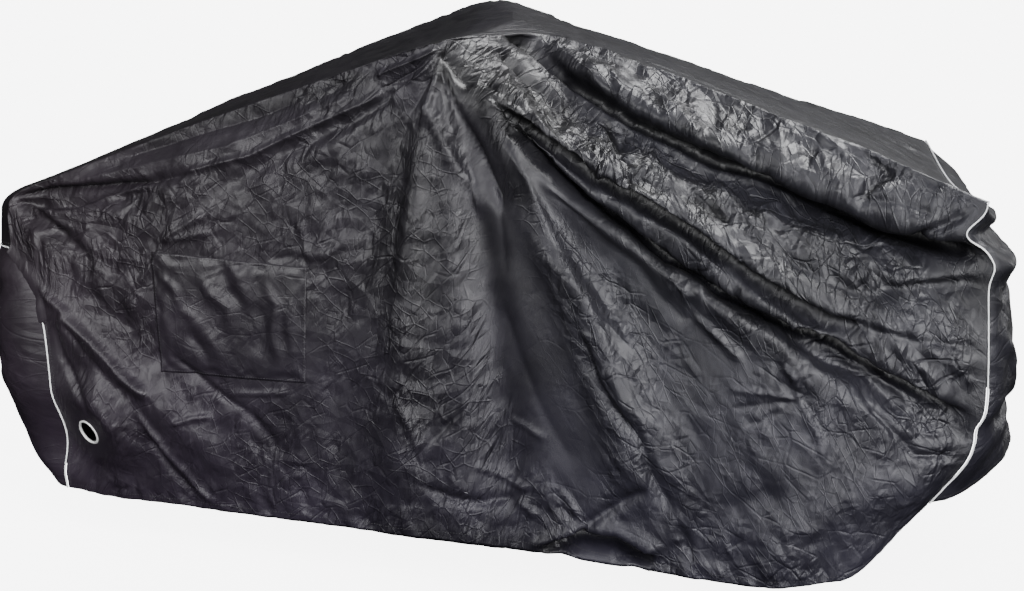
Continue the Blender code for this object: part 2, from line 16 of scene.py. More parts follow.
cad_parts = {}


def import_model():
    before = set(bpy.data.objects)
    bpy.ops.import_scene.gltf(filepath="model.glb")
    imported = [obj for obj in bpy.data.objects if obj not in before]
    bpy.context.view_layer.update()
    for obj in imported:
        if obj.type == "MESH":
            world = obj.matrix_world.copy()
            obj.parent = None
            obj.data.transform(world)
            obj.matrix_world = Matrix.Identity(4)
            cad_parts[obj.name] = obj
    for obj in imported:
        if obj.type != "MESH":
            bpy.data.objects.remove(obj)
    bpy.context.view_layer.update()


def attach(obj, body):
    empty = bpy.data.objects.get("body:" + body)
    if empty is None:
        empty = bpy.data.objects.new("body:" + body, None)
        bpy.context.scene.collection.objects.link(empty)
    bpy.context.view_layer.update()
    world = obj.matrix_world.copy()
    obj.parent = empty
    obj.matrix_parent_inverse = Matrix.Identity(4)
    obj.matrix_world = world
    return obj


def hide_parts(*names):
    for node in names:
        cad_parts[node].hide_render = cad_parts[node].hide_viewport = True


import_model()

# Driving sizes: the piping, and how far each solid's cloth stays from its seam line
HANDLEBAR = (-0.150, 0.0, 1.189)
PIPE_HALF_WIDTH = 0.0040
PIPE_HALF_DEPTH = 0.0026
SEAM_BODY = 0.0046
SEAM_REAR = 0.0042
SEAM_FRONT = 0.0050

# Roof, a row for each section from rear to front.
# name, strips to the next row, near edge x y z, middle x z, far edge x y z
ROOF = (
    ("rear_seam", 4, -1.285, -0.085, 0.668, -1.336, 0.662, -1.3, 0.085, 0.668),
    ("rear_top", 10, -1.3, -0.06, 0.786, -1.33, 0.778, -1.33, 0.062, 0.77),
    ("saddle", 11, -0.813, -0.195, 0.979, -0.818, 0.968, -0.835, 0.21, 0.978),
    ("grips", 5, -0.246, -0.369, 1.188, -0.154, 1.199, -0.238, 0.369, 1.213),
    ("fore", 7, -0.05, -0.045, 1.172, -0.048, 1.168, -0.05, 0.368, 1.152),
    ("box_rear", 7, 0.2, -0.162, 1.108, 0.2, 1.096, 0.195, 0.385, 1.074),
    ("box_mid", 6, 0.47, -0.282, 1.022, 0.46, 0.998, 0.44, 0.406, 0.99),
    ("box_fore", 4, 0.7, -0.374, 0.948, 0.68, 0.921, 0.632, 0.43, 0.929),
    ("front_seam", 0, 0.868, -0.442, 0.884, 0.822, 0.848, 0.787, 0.445, 0.876),
)

# Side walls, the same sections; the far side mirrors them.
# name, shoulder x y z, belly x y z, hem x y z
WALLS = (
    ("rear_seam", -1.198, -0.15, 0.56, -1.17, -0.178, 0.35, -1.159, -0.13, 0.119),
    ("rear_top", -1.13, -0.178, 0.63, -1.06, -0.205, 0.37, -1.05, -0.162, 0.112),
    ("saddle", -0.8, -0.262, 0.845, -0.79, -0.272, 0.45, -0.78, -0.24, 0.114),
    ("grips", -0.232, -0.392, 1.04, -0.215, -0.425, 0.52, -0.205, -0.425, 0.124),
    ("fore", -0.05, -0.392, 1.01, -0.045, -0.445, 0.5, -0.04, -0.448, 0.119),
    ("box_rear", 0.2, -0.43, 0.858, 0.2, -0.48, 0.45, 0.2, -0.478, 0.098),
    ("box_mid", 0.47, -0.468, 0.706, 0.47, -0.515, 0.37, 0.455, -0.51, 0.08),
    ("box_fore", 0.7, -0.478, 0.585, 0.68, -0.505, 0.33, 0.63, -0.495, 0.106),
    ("front_seam", 0.88, -0.476, 0.505, 0.856, -0.468, 0.38, 0.773, -0.45, 0.264),
)

# Lines of the sections: 0 near hem, 1 belly, 2 shoulder, 3 near edge, 4 roof middle,
# 5 far edge, 6 far shoulder, 7 far belly, 8 far hem. The rows of every grid use them.

# Folds that a row of the near wall follows: name, row, and the reach it may move in.
# FOLD_ROW_START is the length over which the row bends to its fold.
FOLD_ROWS = (("furrow", 2.58, 2.42, 2.80), ("long_valley", 1.70, 1.30, 2.14))
FOLD_ROW_START = 0.30

# Main folds of the near wall in side view: depth is out (+) or in (-), the width goes
# from the first value at the start to the second at the end, and above is the share
# of the width on the upper side.
# name, depth, width at start and end, above, path of (x, z)
NEAR_FOLDS = (
    ("roof_lip", 0.02, 0.024, 0.035, 1.0, ((-0.1, 1.16), (0.08, 1.095), (0.28, 1.01), (0.54, 0.93),
     (0.78, 0.86), (0.87, 0.84))),
    ("furrow", -0.05, 0.03, 0.055, 0.45, ((-0.13, 1.165), (0.066, 1.056), (0.286, 0.955), (0.536, 0.877),
     (0.775, 0.803), (0.873, 0.786))),
    ("upper_crease", -0.014, 0.022, 0.024, 1.0, ((-0.09, 1.12), (-0.02, 1.06), (0.02, 1.02), (0.06, 0.985))),
    ("middle_ridge", 0.018, 0.026, 0.04, 1.0, ((-0.17, 1.1), (-0.036, 1.02), (0.2, 0.872), (0.5, 0.705),
     (0.76, 0.6), (0.875, 0.585))),
    ("long_valley", -0.036, 0.024, 0.034, 0.8, ((-0.15, 1.06), (0.006, 0.935), (0.174, 0.82), (0.463, 0.639),
     (0.708, 0.483), (0.865, 0.419))),
    ("valley_lip", 0.02, 0.026, 0.04, 0.8, ((-0.2, 1.12), (-0.1, 0.99), (0.026, 0.864), (0.204, 0.75),
     (0.5, 0.575), (0.66, 0.44))),
    ("side_valley", -0.02, 0.02, 0.06, 1.0, ((-0.19, 1.08), (-0.11, 0.92), (0.02, 0.79), (0.14, 0.66),
     (0.26, 0.5))),
    ("front_ridge", 0.036, 0.02, 0.07, 1.0, ((-0.19, 1.05), (-0.06, 0.87), (0.02, 0.72), (0.1, 0.56),
     (0.18, 0.38), (0.22, 0.22))),
    ("grip_valley", -0.036, 0.02, 0.07, 1.0, ((-0.22, 1.08), (-0.18, 0.9), (-0.14, 0.65), (-0.11, 0.4),
     (-0.1, 0.18))),
    ("grip_ridge", 0.026, 0.02, 0.06, 1.0, ((-0.25, 1.08), (-0.29, 0.9), (-0.31, 0.65), (-0.33, 0.4),
     (-0.34, 0.18))),
    ("back_valley", -0.016, 0.016, 0.06, 1.0, ((-0.27, 1.1), (-0.36, 0.92), (-0.43, 0.7), (-0.47, 0.45),
     (-0.5, 0.2))),
    ("saddle_tuck", -0.014, 0.014, 0.03, 0.8, ((-0.26, 1.13), (-0.42, 1.02), (-0.6, 0.93), (-0.78, 0.83))),
    ("wheel_ridge", 0.034, 0.03, 0.055, 0.9, ((-1.21, 0.6), (-1.12, 0.51), (-1.03, 0.43), (-0.92, 0.36),
     (-0.8, 0.27), (-0.7, 0.18))),
    ("wheel_valley", -0.018, 0.03, 0.05, 1.0, ((-1.2, 0.68), (-1.08, 0.6), (-0.98, 0.53), (-0.86, 0.44),
     (-0.7, 0.36))),
    ("rear_crease", -0.016, 0.012, 0.035, 0.7, ((-1.28, 0.77), (-1.16, 0.8), (-1.0, 0.82), (-0.9, 0.82))),
    ("rear_crease_low", -0.014, 0.012, 0.03, 0.8, ((-1.28, 0.765), (-1.2, 0.74), (-1.1, 0.69),
     (-1.04, 0.65))),
    ("box_crease", -0.016, 0.016, 0.026, 0.8, ((0.42, 0.78), (0.6, 0.7), (0.72, 0.7), (0.88, 0.72))),
    ("hem_tuck", -0.04, 0.02, 0.024, 0.9, ((-0.02, 0.115), (0.06, 0.15), (0.13, 0.15), (0.21, 0.11))),
    ("toe_crease", -0.022, 0.03, 0.03, 1.0, ((0.2, 0.08), (0.27, 0.16), (0.36, 0.24), (0.5, 0.3))),
    ("toe_ridge", 0.018, 0.04, 0.06, 1.0, ((0.4, 0.1), (0.52, 0.22), (0.66, 0.3), (0.8, 0.34))),
)

# The far wall hangs plainly: soft upright folds at these x.
# x at the roof, x at the hem, depth, width
FAR_FOLDS = (
    (-0.98, -0.92, -0.014, 0.05),
    (-0.5, -0.55, -0.02, 0.06),
    (-0.24, -0.22, 0.024, 0.06),
    (-0.05, 0.02, -0.026, 0.06),
    (0.3, 0.36, -0.022, 0.07),
    (0.62, 0.6, 0.016, 0.06),
)

# Shallow creases of the roof in plan: depth, width, path of (x, y)
ROOF_FOLDS = (
    (-0.012, 0.03, ((-0.02, 0.0), (0.3, -0.06), (0.6, -0.2), (0.8, -0.32))),
    (-0.008, 0.02, ((0.55, 0.3), (0.7, 0.26), (0.8, 0.22))),
    (-0.014, 0.05, ((-1.2, 0.0), (-0.8, 0.02), (-0.4, 0.05))),
)

# The front seam is pulled back where the furrow meets it: z, pull, height of the pull
SEAM_PULL = ((0.826, 0.042, 0.028), (0.755, -0.012, 0.024), (0.425, 0.008, 0.020))

# End panels: how far each bulges past its seam, from its hem (0) to its top (1)
REAR_BULGE = ((0.0, 0.052), (0.15, 0.112), (0.30, 0.138), (0.60, 0.140), (0.88, 0.080), (1.0, 0.0))
FRONT_BULGE = ((0.0, 0.190), (0.12, 0.120), (0.25, 0.085), (0.60, 0.080), (0.92, 0.070), (1.0, 0.0))
REAR_HEM_RISE = 0.010
FRONT_HEM_RISE = 0.066

# Lock eyelet: a metal ring through a hole in the strip beside the rear seam. The cloth
# is flat round it as far as EYELET_FLAT, and EYELET_ROW ends the rows it can be on.
EYELET = (-1.082, -0.196, 0.272)
EYELET_FACES = (-0.50, -0.72, -0.34)
EYELET_FLAT = 0.072
EYELET_BLEND = 0.150
EYELET_HOLE = 0.0275
EYELET_ROW = 2.6
# The hole in the visual cloth: how much wider it is, how far points are drawn to its
# rim, and how far from the eyelet's plane they can be
EYELET_RIM = 0.002
EYELET_PULL = 0.0038
EYELET_DEEP = 0.02

# Sewn patch: corners in side view, in order round it
PATCH = ((-0.909, 0.700), (-0.541, 0.694), (-0.548, 0.440), (-0.895, 0.430))

# Grid of the visual cover; its columns are evenly spaced on these rows. Its hem turns in
# over the rows HEM_TURN. LOW_NEAR is a point low on the near side, which faces -Y.
ROOF_COLUMNS = sum(row[1] for row in ROOF)
COARSE_COLUMNS = 271
SPACING_ROWS = (0.5, 1.5, 2.5, 4.0)
COLUMNS = 328
NEAR_ROWS = 198
ROOF_ROWS = 40
FAR_ROWS = 56
HEM_TURN = (5, 3, 1)
HEM_THICK = 0.0022
LOW_NEAR = (5, 50)

# Folds that the visual cloth shows softer than the solids: share of the depth
SOFTER = {"wheel_ridge": 0.50, "wheel_valley": 0.55, "back_valley": 0.45, "toe_crease": 0.4, "toe_ridge": 0.6}
NEAR_FOLDS = tuple((name, depth * SOFTER.get(name, 1.0), *rest) for name, depth, *rest in NEAR_FOLDS)


def metres(lengths):
    """A length, or a nest of lengths, given in millimetres."""
    if isinstance(lengths, tuple):
        return tuple(metres(length) for length in lengths)
    return lengths / 1000


def measured(rows):
    """Rows of a share, a length and a path, the last two given in millimetres."""
    return tuple((share, metres(length), metres(path)) for share, length, path in rows)


def raised(path, rise):
    """The same path with every point higher."""
    return tuple((x, z + rise) for x, z in path)


# Paths in side view that the tables below share, (x, z) in millimetres
UPPER_VALLEY = (
    (-120, 1055), (-65, 1025), (10, 975), (75, 930), (165, 885), (280, 820), (395, 740), (520, 670),
    (620, 640),
)
LONG_VALLEY = (
    (-120, 1040), (-55, 985), (5, 930), (85, 865), (155, 820), (225, 770), (290, 735), (340, 700),
    (410, 670), (475, 635), (565, 610), (665, 550), (785, 485), (850, 455),
)
FURROW = (
    (-130, 1175), (-80, 1154), (-20, 1115), (73, 1066), (160, 1016), (246, 982), (326, 946), (413, 925),
    (487, 896), (568, 862), (647, 832), (729, 808), (800, 791), (863, 778),
)
DARK_CREASE = ((-132, 1153), (-96, 1119), (-60, 1075), (-19, 1039), (21, 1007))
HEM_SHADOW = ((-30, 118), (60, 154), (130, 155), (215, 115))
GRIP_SHADOW = ((-106, 1171), (-72, 1146), (-42, 1122), (10, 1092))

# Creases of the near side, in millimetres: depth is out (+) or in (-), and
# the width goes from the first value at the start of the path to the second at its end.
# depth, width at start and end, path
CREASES = metres((
    # Long folds from the handlebar forward
    (-22, 10, 20, UPPER_VALLEY),
    (10, 7, 12, ((-75, 1005), (5, 940), (85, 895), (155, 845), (215, 805), (300, 740), (370, 710),
     (445, 675), (525, 640))),
    (-20, 8, 16, LONG_VALLEY),
    (8, 7, 12, ((-155, 1070), (-85, 1005), (0, 915), (100, 830), (190, 770), (270, 720), (340, 670),
     (395, 635), (485, 585))),
    (-14, 8, 14, ((475, 615), (525, 585), (565, 560), (645, 525))),
    # Under the roof's edge
    (-10, 8, 12, ((90, 1040), (125, 975), (165, 930), (230, 900), (295, 875), (340, 850), (385, 830))),
    (-6, 6, 6, ((35, 1115), (70, 1080), (90, 1035))),
    (-12, 6, 10, ((-140, 1150), (-105, 1125), (-75, 1095), (-30, 1060), (5, 1030), (25, 1005))),
    (-16, 9, 14, ((-240, 1160), (-215, 1130), (-175, 1090))),
    (-8, 6, 8, ((-165, 1105), (-130, 1080), (-80, 1060), (-45, 1040))),
    # Fan of pleats under the grip
    (14, 5, 9, ((-252, 1165), (-288, 1145), (-332, 1126), (-385, 1102))),
    (-10, 5, 9, ((-252, 1163), (-284, 1131), (-327, 1104), (-375, 1072))),
    (14, 5, 9, ((-251, 1163), (-275, 1123), (-310, 1088), (-352, 1046))),
    (-10, 5, 9, ((-249, 1161), (-266, 1113), (-286, 1072), (-312, 1028))),
    (12, 5, 9, ((-247, 1161), (-253, 1113), (-265, 1063), (-280, 1000))),
    (-20, 9, 16, ((-252, 1158), (-239, 1114), (-216, 1054), (-185, 983), (-144, 902), (-104, 834))),
    (-18, 6, 9, DARK_CREASE),
    (10, 5, 7, ((-148, 1067), (-97, 1022), (-47, 967), (16, 914), (80, 864), (143, 818), (193, 782))),
    (14, 8, 14, ((-275, 1060), (-260, 1025), (-240, 985), (-200, 910), (-170, 875), (-155, 825))),
    # Smooth bands in the middle
    (-10, 20, 30, ((-225, 1140), (-195, 1065), (-165, 985), (-130, 905), (-115, 800), (-105, 695))),
    (-12, 18, 30, ((-20, 890), (45, 840), (95, 790), (170, 740), (220, 675), (280, 625))),
    (14, 10, 20, ((-95, 970), (-55, 910), (-30, 840), (15, 750), (80, 650), (125, 550))),
    (-16, 10, 20, ((50, 610), (80, 530), (125, 450), (185, 390), (215, 305), (260, 215))),
    # Star over the front box
    (-6, 5, 6, ((505, 485), (450, 475), (375, 460))),
    (-6, 5, 6, ((505, 485), (460, 455), (395, 420))),
    (6, 5, 6, ((505, 485), (445, 495), (365, 500))),
    (7, 5, 8, ((505, 485), (500, 525), (470, 565))),
    (7, 5, 8, ((505, 485), (540, 425), (560, 365))),
    (8, 6, 10, ((290, 650), (335, 610), (390, 560))),
    (-10, 6, 10, ((265, 205), (285, 155), (300, 120))),
    # Beside the front seam
    (-12, 8, 10, ((670, 705), (740, 710), (810, 720), (890, 725))),
    (-10, 8, 12, ((510, 680), (585, 655), (660, 625), (740, 610), (810, 600), (875, 585))),
    (-16, 6, 8, ((620, 910), (640, 920), (680, 935))),
    (-16, 6, 10, ((710, 825), (735, 840), (775, 855), (830, 865))),
    (-10, 6, 8, ((615, 895), (655, 895), (715, 885), (765, 870))),
    (-10, 6, 10, ((640, 480), (695, 425), (740, 375), (820, 370))),
    # Upper rear corner, and along the roof's edge
    (-20, 5, 10, ((-1280, 785), (-1180, 805), (-1050, 825), (-915, 850), (-790, 885))),
    (-12, 4, 7, ((-1275, 775), (-1215, 775), (-1115, 785), (-1075, 795))),
    (-10, 4, 8, ((-1280, 770), (-1215, 760), (-1170, 735), (-1120, 705))),
    (-8, 4, 7, ((-1280, 775), (-1150, 775), (-1020, 800))),
    (8, 6, 8, ((-1135, 765), (-1020, 805), (-890, 855), (-755, 900), (-670, 925), (-570, 975), (-495, 1010),
     (-400, 1055), (-310, 1115))),
    (-8, 10, 14, ((-985, 895), (-800, 960), (-675, 1000), (-560, 1045))),
    (6, 10, 14, ((-1100, 835), (-920, 885), (-720, 940), (-555, 1010), (-420, 1070))),
    # Stars at the patch's upper corners
    (8, 5, 7, ((-880, 725), (-835, 760), (-775, 790))),
    (7, 5, 7, ((-880, 725), (-815, 740), (-760, 760))),
    (7, 5, 7, ((-880, 725), (-850, 770), (-840, 810))),
    (8, 5, 8, ((-880, 725), (-900, 680), (-940, 625))),
    (9, 5, 8, ((-535, 710), (-510, 750), (-485, 795))),
    (8, 5, 7, ((-535, 710), (-545, 755), (-560, 795))),
    (-7, 5, 7, ((-535, 710), (-580, 715), (-630, 705))),
    (8, 5, 7, ((-535, 710), (-485, 730), (-445, 760))),
    # Over the rear wheel and under the patch
    (6, 12, 14, ((-1120, 540), (-1080, 505), (-1025, 450), (-960, 395), (-915, 370))),
    (-6, 8, 12, ((-1135, 530), (-1085, 465), (-1025, 405), (-965, 355))),
    (10, 8, 10, ((-1255, 650), (-1220, 615), (-1180, 575), (-1110, 535))),
    (-8, 6, 10, ((-1160, 525), (-1140, 445), (-1090, 365), (-1055, 265))),
    (10, 6, 12, ((-960, 340), (-900, 255), (-815, 160), (-770, 125))),
    (-8, 6, 10, ((-930, 270), (-885, 200), (-830, 140))),
    (-9, 8, 12, ((-860, 470), (-770, 400), (-685, 355), (-610, 270))),
    (8, 5, 6, ((-870, 315), (-825, 330), (-775, 340))),
    (6, 4, 6, ((-725, 400), (-655, 405), (-590, 415))),
    # Low in the middle
    (10, 5, 8, ((-340, 435), (-310, 380), (-285, 320))),
    (-8, 5, 6, ((-275, 330), (-240, 365), (-215, 400))),
    (8, 5, 7, ((-170, 295), (-125, 280), (-90, 265), (-50, 250))),
    (-12, 8, 12, ((-285, 240), (-220, 220), (-155, 215), (-80, 235))),
    (5, 5, 8, ((-95, 400), (-55, 385), (-15, 365))),
    (8, 5, 7, ((-75, 225), (-55, 215), (-35, 195))),
    (8, 5, 7, ((20, 260), (40, 235), (55, 210))),
    # Streak over the wheel, furrow under the roof's edge, tuck at the hem
    (12, 7, 12, ((-1145, 540), (-1100, 510), (-1060, 482), (-987, 415), (-915, 367))),
    (-24, 10, 17, FURROW),
    (17, 8, 16, ((150, 1055), (250, 1020), (330, 988), (487, 925), (570, 896), (650, 866), (760, 836))),
    (14, 8, 16, ((-50, 130), (50, 180), (140, 182), (240, 130))),
    (-22, 6, 10, HEM_SHADOW),
    (-14, 8, 14, ((50, 160), (100, 210), (145, 245), (205, 280))),
    (-6, 20, 30, ((-115, 650), (-70, 530), (-15, 410), (50, 305))),
))
# How a crease is drawn: widths and depths times these, share of the path for each end
CREASE_WIDER = 2.2
CREASE_DEEPER = 1.15
CREASE_ENDS = 0.16

# Folds whose upper lip hangs over a trough, in millimetres: drop and rise of the lip,
# sink of the trough, reach, path
FURROW_TOP = ((-150, 1203), (-90, 1183), (-45, 1155), (-5, 1131), (36, 1108), (75, 1088))
FURROW_TOP += raised(FURROW[4:7], 22) + raised(FURROW[7:12], 24) + ((800, 812), (863, 797), (920, 786))
UPPER_TOP = ((-150, 1080),) + raised(UPPER_VALLEY[:8], 8) + ((640, 640),)
LONG_TOP = ((-150, 1070),) + raised(LONG_VALLEY[:13], 8) + ((870, 450),)
TUCKS = metres((
    (28, 10, 28, 32, FURROW_TOP),
    (17, 9, 21, 21, UPPER_TOP),
    (19, 10, 27, 25, LONG_TOP),
))
# How a tuck is drawn. Along its path: share of the reach at the start and share of the
# path until it is full, shares of the path for the ends. Across it, in reaches: where
# the lip comes in and goes out, how far below the path the trough is and how wide.
TUCK_START = 0.5, 0.20
TUCK_ENDS = 0.08, 0.10
TUCK_LIP_START = -0.5, 0.85
TUCK_LIP_END = 2.4, 2.0
TUCK_TROUGH = 0.45, 0.70

# Share of the fine crumple that is left along a path of the near side: smooth bands
# below 1, rough ones above. share, half width, path
ZONES = measured((
    (0.25, 35, ((-220, 1120), (-190, 1030), (-150, 920), (-120, 800), (-100, 700))),
    (0.2, 35, ((-90, 950), (-20, 890), (60, 820), (170, 730), (280, 620), (340, 550))),
    (0.45, 60, ((-100, 620), (-60, 480), (0, 360), (80, 270))),
    (0.35, 50, ((100, 120), (170, 180), (200, 240))),
    (0.35, 110, ((-800, 620), (-650, 580), (-620, 500), (-800, 500))),
    (0.4, 50, ((-1150, 450), (-1100, 330), (-1040, 220), (-900, 180))),
    (0.45, 60, ((-1100, 850), (-850, 930), (-600, 1020))),
    (0.55, 90, ((-1160, 550), (-1040, 450), (-920, 360), (-800, 270))),
    (0.2, 85, ((-120, 800), (-60, 640), (-10, 480), (30, 340))),
    (0.5, 170, ((330, 420), (440, 320), (620, 260))),
    (1.45, 60, ((-100, 1185), (100, 1110), (300, 1030), (520, 950), (740, 880))),
    (0.5, 40, ((-130, 1165), (66, 1056), (286, 955), (536, 877), (775, 803))),
    (1.25, 45, ((0, 760), (80, 640), (140, 520), (200, 420), (280, 300))),
    (1.35, 60, ((-340, 800), (-320, 620), (-300, 450), (-260, 320), (-200, 200))),
    (1.9, 65, ((100, 980), (300, 900), (500, 800), (700, 740))),
    (1.7, 55, ((-170, 1120), (-60, 1070), (40, 1010), (140, 950))),
    (1.5, 60, ((300, 740), (500, 660), (660, 600), (840, 560))),
    (0.7, 120, ((-700, 850), (-550, 600), (-450, 350), (-300, 250))),
    (0.75, 120, ((-340, 1000), (-320, 800), (-300, 600))),
    (1.3, 35, ((620, 500), (720, 440), (820, 420))),
))

# Painted shade: share of the cloth's colour that is left along a path, darker in the deep folds
# and in the other places that lie in shade. share, half width, path
PAINTED_SHADES = measured((
    (0.3, 10, ((-140, 1192),) + GRIP_SHADOW),
    (0.3, 20, ((-47, 1128), (-7, 1105)) + FURROW[3:]),
    (0.36, 14, ((-143, 1068), (-55, 1015), (29, 966), (113, 913), (196, 865), (298, 799), (380, 758),
     (481, 706), (582, 665))),
    (0.32, 17, ((-142, 1059), (-75, 992), (-13, 934), (71, 868), (155, 807), (238, 751), (321, 698),
     (403, 650), (560, 605), (665, 545), (785, 480))),
    (0.6, 26, ((-246, 1150), (-205, 1100), (-159, 1045), (-114, 967), (-71, 888), (-41, 839))),
    (0.66, 110, ((-330, 1060), (-310, 850), (-290, 600), (-260, 300))),
    (0.62, 90, ((840, 860), (880, 620), (900, 400), (800, 240))),
    (0.52, 22, ((-980, 925), (-800, 985), (-620, 1035), (-470, 1083), (-370, 1115))),
    (0.45, 38, ((-262, 1153), (-201, 1119), (-151, 1087), (-103, 1057), (-40, 1000))),
    (0.4, 9, DARK_CREASE),
    (0.5, 50, ((-440, 120), (-200, 110), (40, 110))),
    (0.55, 20, HEM_SHADOW),
))

# Share of a path over which its painted shade comes in, and goes out
SHADE_ENDS = 0.08, 0.12
NEEDLE_ENDS = 0.25, 0.25

# Where the near side's looks end, and where the roof's start and end: row, reach
NEAR_END = 3.12, 0.20
ROOF_START = 2.96, 0.10
ROOF_END = 5.20, 0.50
# Roof: share of the crumple that it loses, and share of the colour that it loses as painted
# shade; then what more is lost this far behind the handlebar, where the painted shade is darker
ROOF_CALM = 0.62, 0.26
ROOF_PAINTED_SHADE = 0.02, 0.52
BEHIND = 0.06

# Painted tint of the light on the cloth's colour: at the rear (warmer) and at the front (cooler),
# at the hem (a bluer painted shade) and above it
PAINTED_TINT_ALONG = (-1.2, 0.3), ((1.18, 0.97, 1.02), (0.92, 1.01, 1.06))
PAINTED_TINT_UP = (-1.12, -0.50), ((1.04, 0.97, 1.20), (1.0, 1.0, 1.0))

# Short sharp creases: share of the cloth's colour left in them as painted shade, depth, path
NEEDLES = measured((
    (0.3, -20, ((-150, 1198),) + GRIP_SHADOW),
    (0.55, -6, ((243, 1064), (272, 1037))),
    (0.55, -6, ((176, 1095), (195, 1069), (217, 1043))),
    (0.6, -5, ((312, 1052), (317, 1026), (330, 1009))),
    (0.55, -6, ((332, 1009), (358, 1017), (387, 1012))),
    (0.55, -6, ((389, 980), (420, 960), (445, 936))),
    (0.55, -6, ((500, 955), (528, 972))),
    (0.35, -12, ((612, 893), (643, 914), (685, 933))),
    (0.45, -7, ((630, 959), (655, 943), (679, 931))),
    (0.4, -9, ((82, 1019), (99, 986), (131, 965), (161, 936))),
    (0.4, -9, ((161, 932), (171, 946), (182, 960))),
    (0.5, -6, ((140, 931), (173, 916), (222, 898))),
    (0.45, -8, ((304, 896), (329, 863), (367, 830))),
    (0.5, -6, ((270, 887), (324, 856), (359, 837))),
    (0.5, -6, ((387, 866), (416, 847), (439, 825))),
    (0.5, -6, ((-3, 1052), (18, 1022), (39, 1003))),
    (0.5, -6, ((43, 1007), (81, 973), (103, 952))),
    (0.55, -6, ((193, 1042), (255, 1020), (316, 995), (369, 967), (413, 940), (456, 920))),
))
NEEDLE_WIDTH = 0.0065

# Beside a seam the cloth is held: share left at the seam, distance to the free cloth
HELD_CRUMPLE = 0.25, 0.07
HELD_TUCKS = 0.15, 0.08
HELD_CREASES = 0.30, 0.05
# Round the eyelet: radius with nothing left, distance from there to the free cloth
HELD_EYELET = 0.045, 0.05
EYELET_SHARE = 0.2

# Creases of the end panels, in millimetres: depth, width, path of (y, z)
FRONT_CREASES = metres((
    (9, 16, ((-440, 860), (-380, 840), (-260, 830), (-100, 840))),
    (-12, 14, ((-460, 800), (-380, 790), (-280, 780), (-140, 790))),
    (8, 18, ((-460, 760), (-360, 740), (-220, 730))),
    (-7, 12, ((-460, 690), (-340, 700), (-200, 690))),
    (12, 20, ((-450, 620), (-360, 550), (-300, 440))),
    (-12, 16, ((-440, 440), (-340, 420), (-200, 440))),
    (-14, 30, ((100, 840), (60, 600), (100, 360))),
    (12, 30, ((300, 840), (260, 600), (300, 360))),
))
REAR_CREASES = metres((
    (-8, 10, ((-100, 600), (-30, 500), (20, 360))),
    (8, 14, ((-80, 400), (-20, 300), (0, 180))),
    (-8, 12, ((100, 620), (50, 480), (80, 300))),
))

# End panels: side that each closes, bulge, rise of the hem, rows and columns, creases,
# gap from the seam, share of the crumple in the shape and in the material
PANELS = {
    "rear_end": (-1, REAR_BULGE, REAR_HEM_RISE, (100, 56), REAR_CREASES, SEAM_REAR, 0.18, 0.35),
    "front_end": (1, FRONT_BULGE, FRONT_HEM_RISE, (110, 130), FRONT_CREASES, SEAM_FRONT, 0.55, 0.6),
}
PANEL_RIM = 0.05
PANEL_SEED = 40

# Crumple of the cloth in flat facets: cell, height, turn, stretch, seed
FACETS = (
    (0.12, 0.0028, 0.5, 1.5, 11),
    (0.062, 0.0026, -0.7, 1.9, 12),
    (0.034, 0.0025, 0.9, 2.2, 13),
    (0.02, 0.0018, -0.4, 2.2, 14),
)
FACET_JITTER = 0.42
FACET_SPREAD = 0.6
FACET_MOST = 1.1

# Short sharp creases, scattered: how many, and the ranges of their sizes
PINCHES = 1500
PINCH_SEED = 20
PINCH_LENGTH = 0.015, 0.075
PINCH_WIDTH = 0.008, 0.020
PINCH_HEIGHT = 0.0012, 0.0048
PINCH_TURNS = -0.9, 0.6, 1.4
PINCH_SWAY = 0.45
PINCH_MARGIN = 0.12

# Every material: scale of its blotches and where they turn from dark to light, scale
# and spread of its wear; and the grain of the trim
BLOTCH_SCALE = 6.0
BLOTCH_RANGE = 0.32, 0.70
WEAR_SCALE = 38.0
WEAR_SPREAD = 0.22
GRAIN_SCALE = 420.0
GRAIN_DEPTH = 0.0003
GRAIN_STRENGTH = 0.4

# Finer crumple, in the cloth's material: how far its patterns drift over the flat cloth
DRIFT_SCALE = 9.0
DRIFT = 0.016
# Tilted cells: cells per metre, tilt, turn, stretch
TILTS = (
    (12.0, 0.07, 0.5, 2.2),
    (28.0, 0.075, -0.8, 2.6),
    (56.0, 0.11, 1.1, 3.0),
    (84.0, 0.1, 2.1, 3.2),
)
# Raised or sunk cells: cells per metre, slope, turn, stretch, everywhere or in patches.
# The patches of a pattern: blotches per metre, and where they come in.
FOLD_CELLS = (
    (8.0, 0.1, 0.9, 1.5, True),
    (17.0, -0.13, -0.5, 1.9, True),
    (36.0, 0.22, 0.6, 2.4, False),
    (62.0, -0.24, 1.2, 2.6, False),
)
CELL_PATCHES = 15.0, 0.44, 0.62
# Thin lines where the cloth was folded: cells per metre, slope, turn, stretch
FOLD_LINES = (
    (23.0, 0.42, 0.35, 2.1),
    (38.0, -0.48, -0.75, 2.4),
    (58.0, 0.6, 1.35, 2.3),
)
LINE_PATCHES = 11.0, 0.45, 0.58
LINE_HALF_WIDTH = 0.07
WEAVE_BANDS = 260.0
WEAVE_DEPTH = 0.0002
WEAVE_STRENGTH = 0.35

# Piping: share of the solid's size that the cord itself has, lift, sides, and the
# stretch of the rear seam (lowest z, highest z, blend) where cloth covers it
PIPE_CORD = 0.42, 0.8
PIPE_LIFT = 0.0012
PIPE_SIDES = 12
COVERED_PIPING = (0.505, 0.685, 0.014)
# The covering cloth's lift at the seam and beside it, in half sizes of the piping
COVER_LIFTS = 2.2, 1.4
# Uneven thickness of the cord: share, pace along it
PIPE_SWELLS = ((0.06, 0.9), (0.04, 2.3))
# Share of the solids' gap from the seam that the visual cloth leaves
SEAM_SHOWN = 0.6

# Stitches: spacing, size, how deep their ends sink, distance from a seam, lift
STITCH_PITCH = 0.0065
STITCH_LENGTH = 0.0040
STITCH_WIDE = 0.0011
STITCH_SINK = 0.0004
SEAM_STITCH = 0.0095
STITCH_LIFT = 0.0004
PATCH_STITCH_LIFT = 0.0003

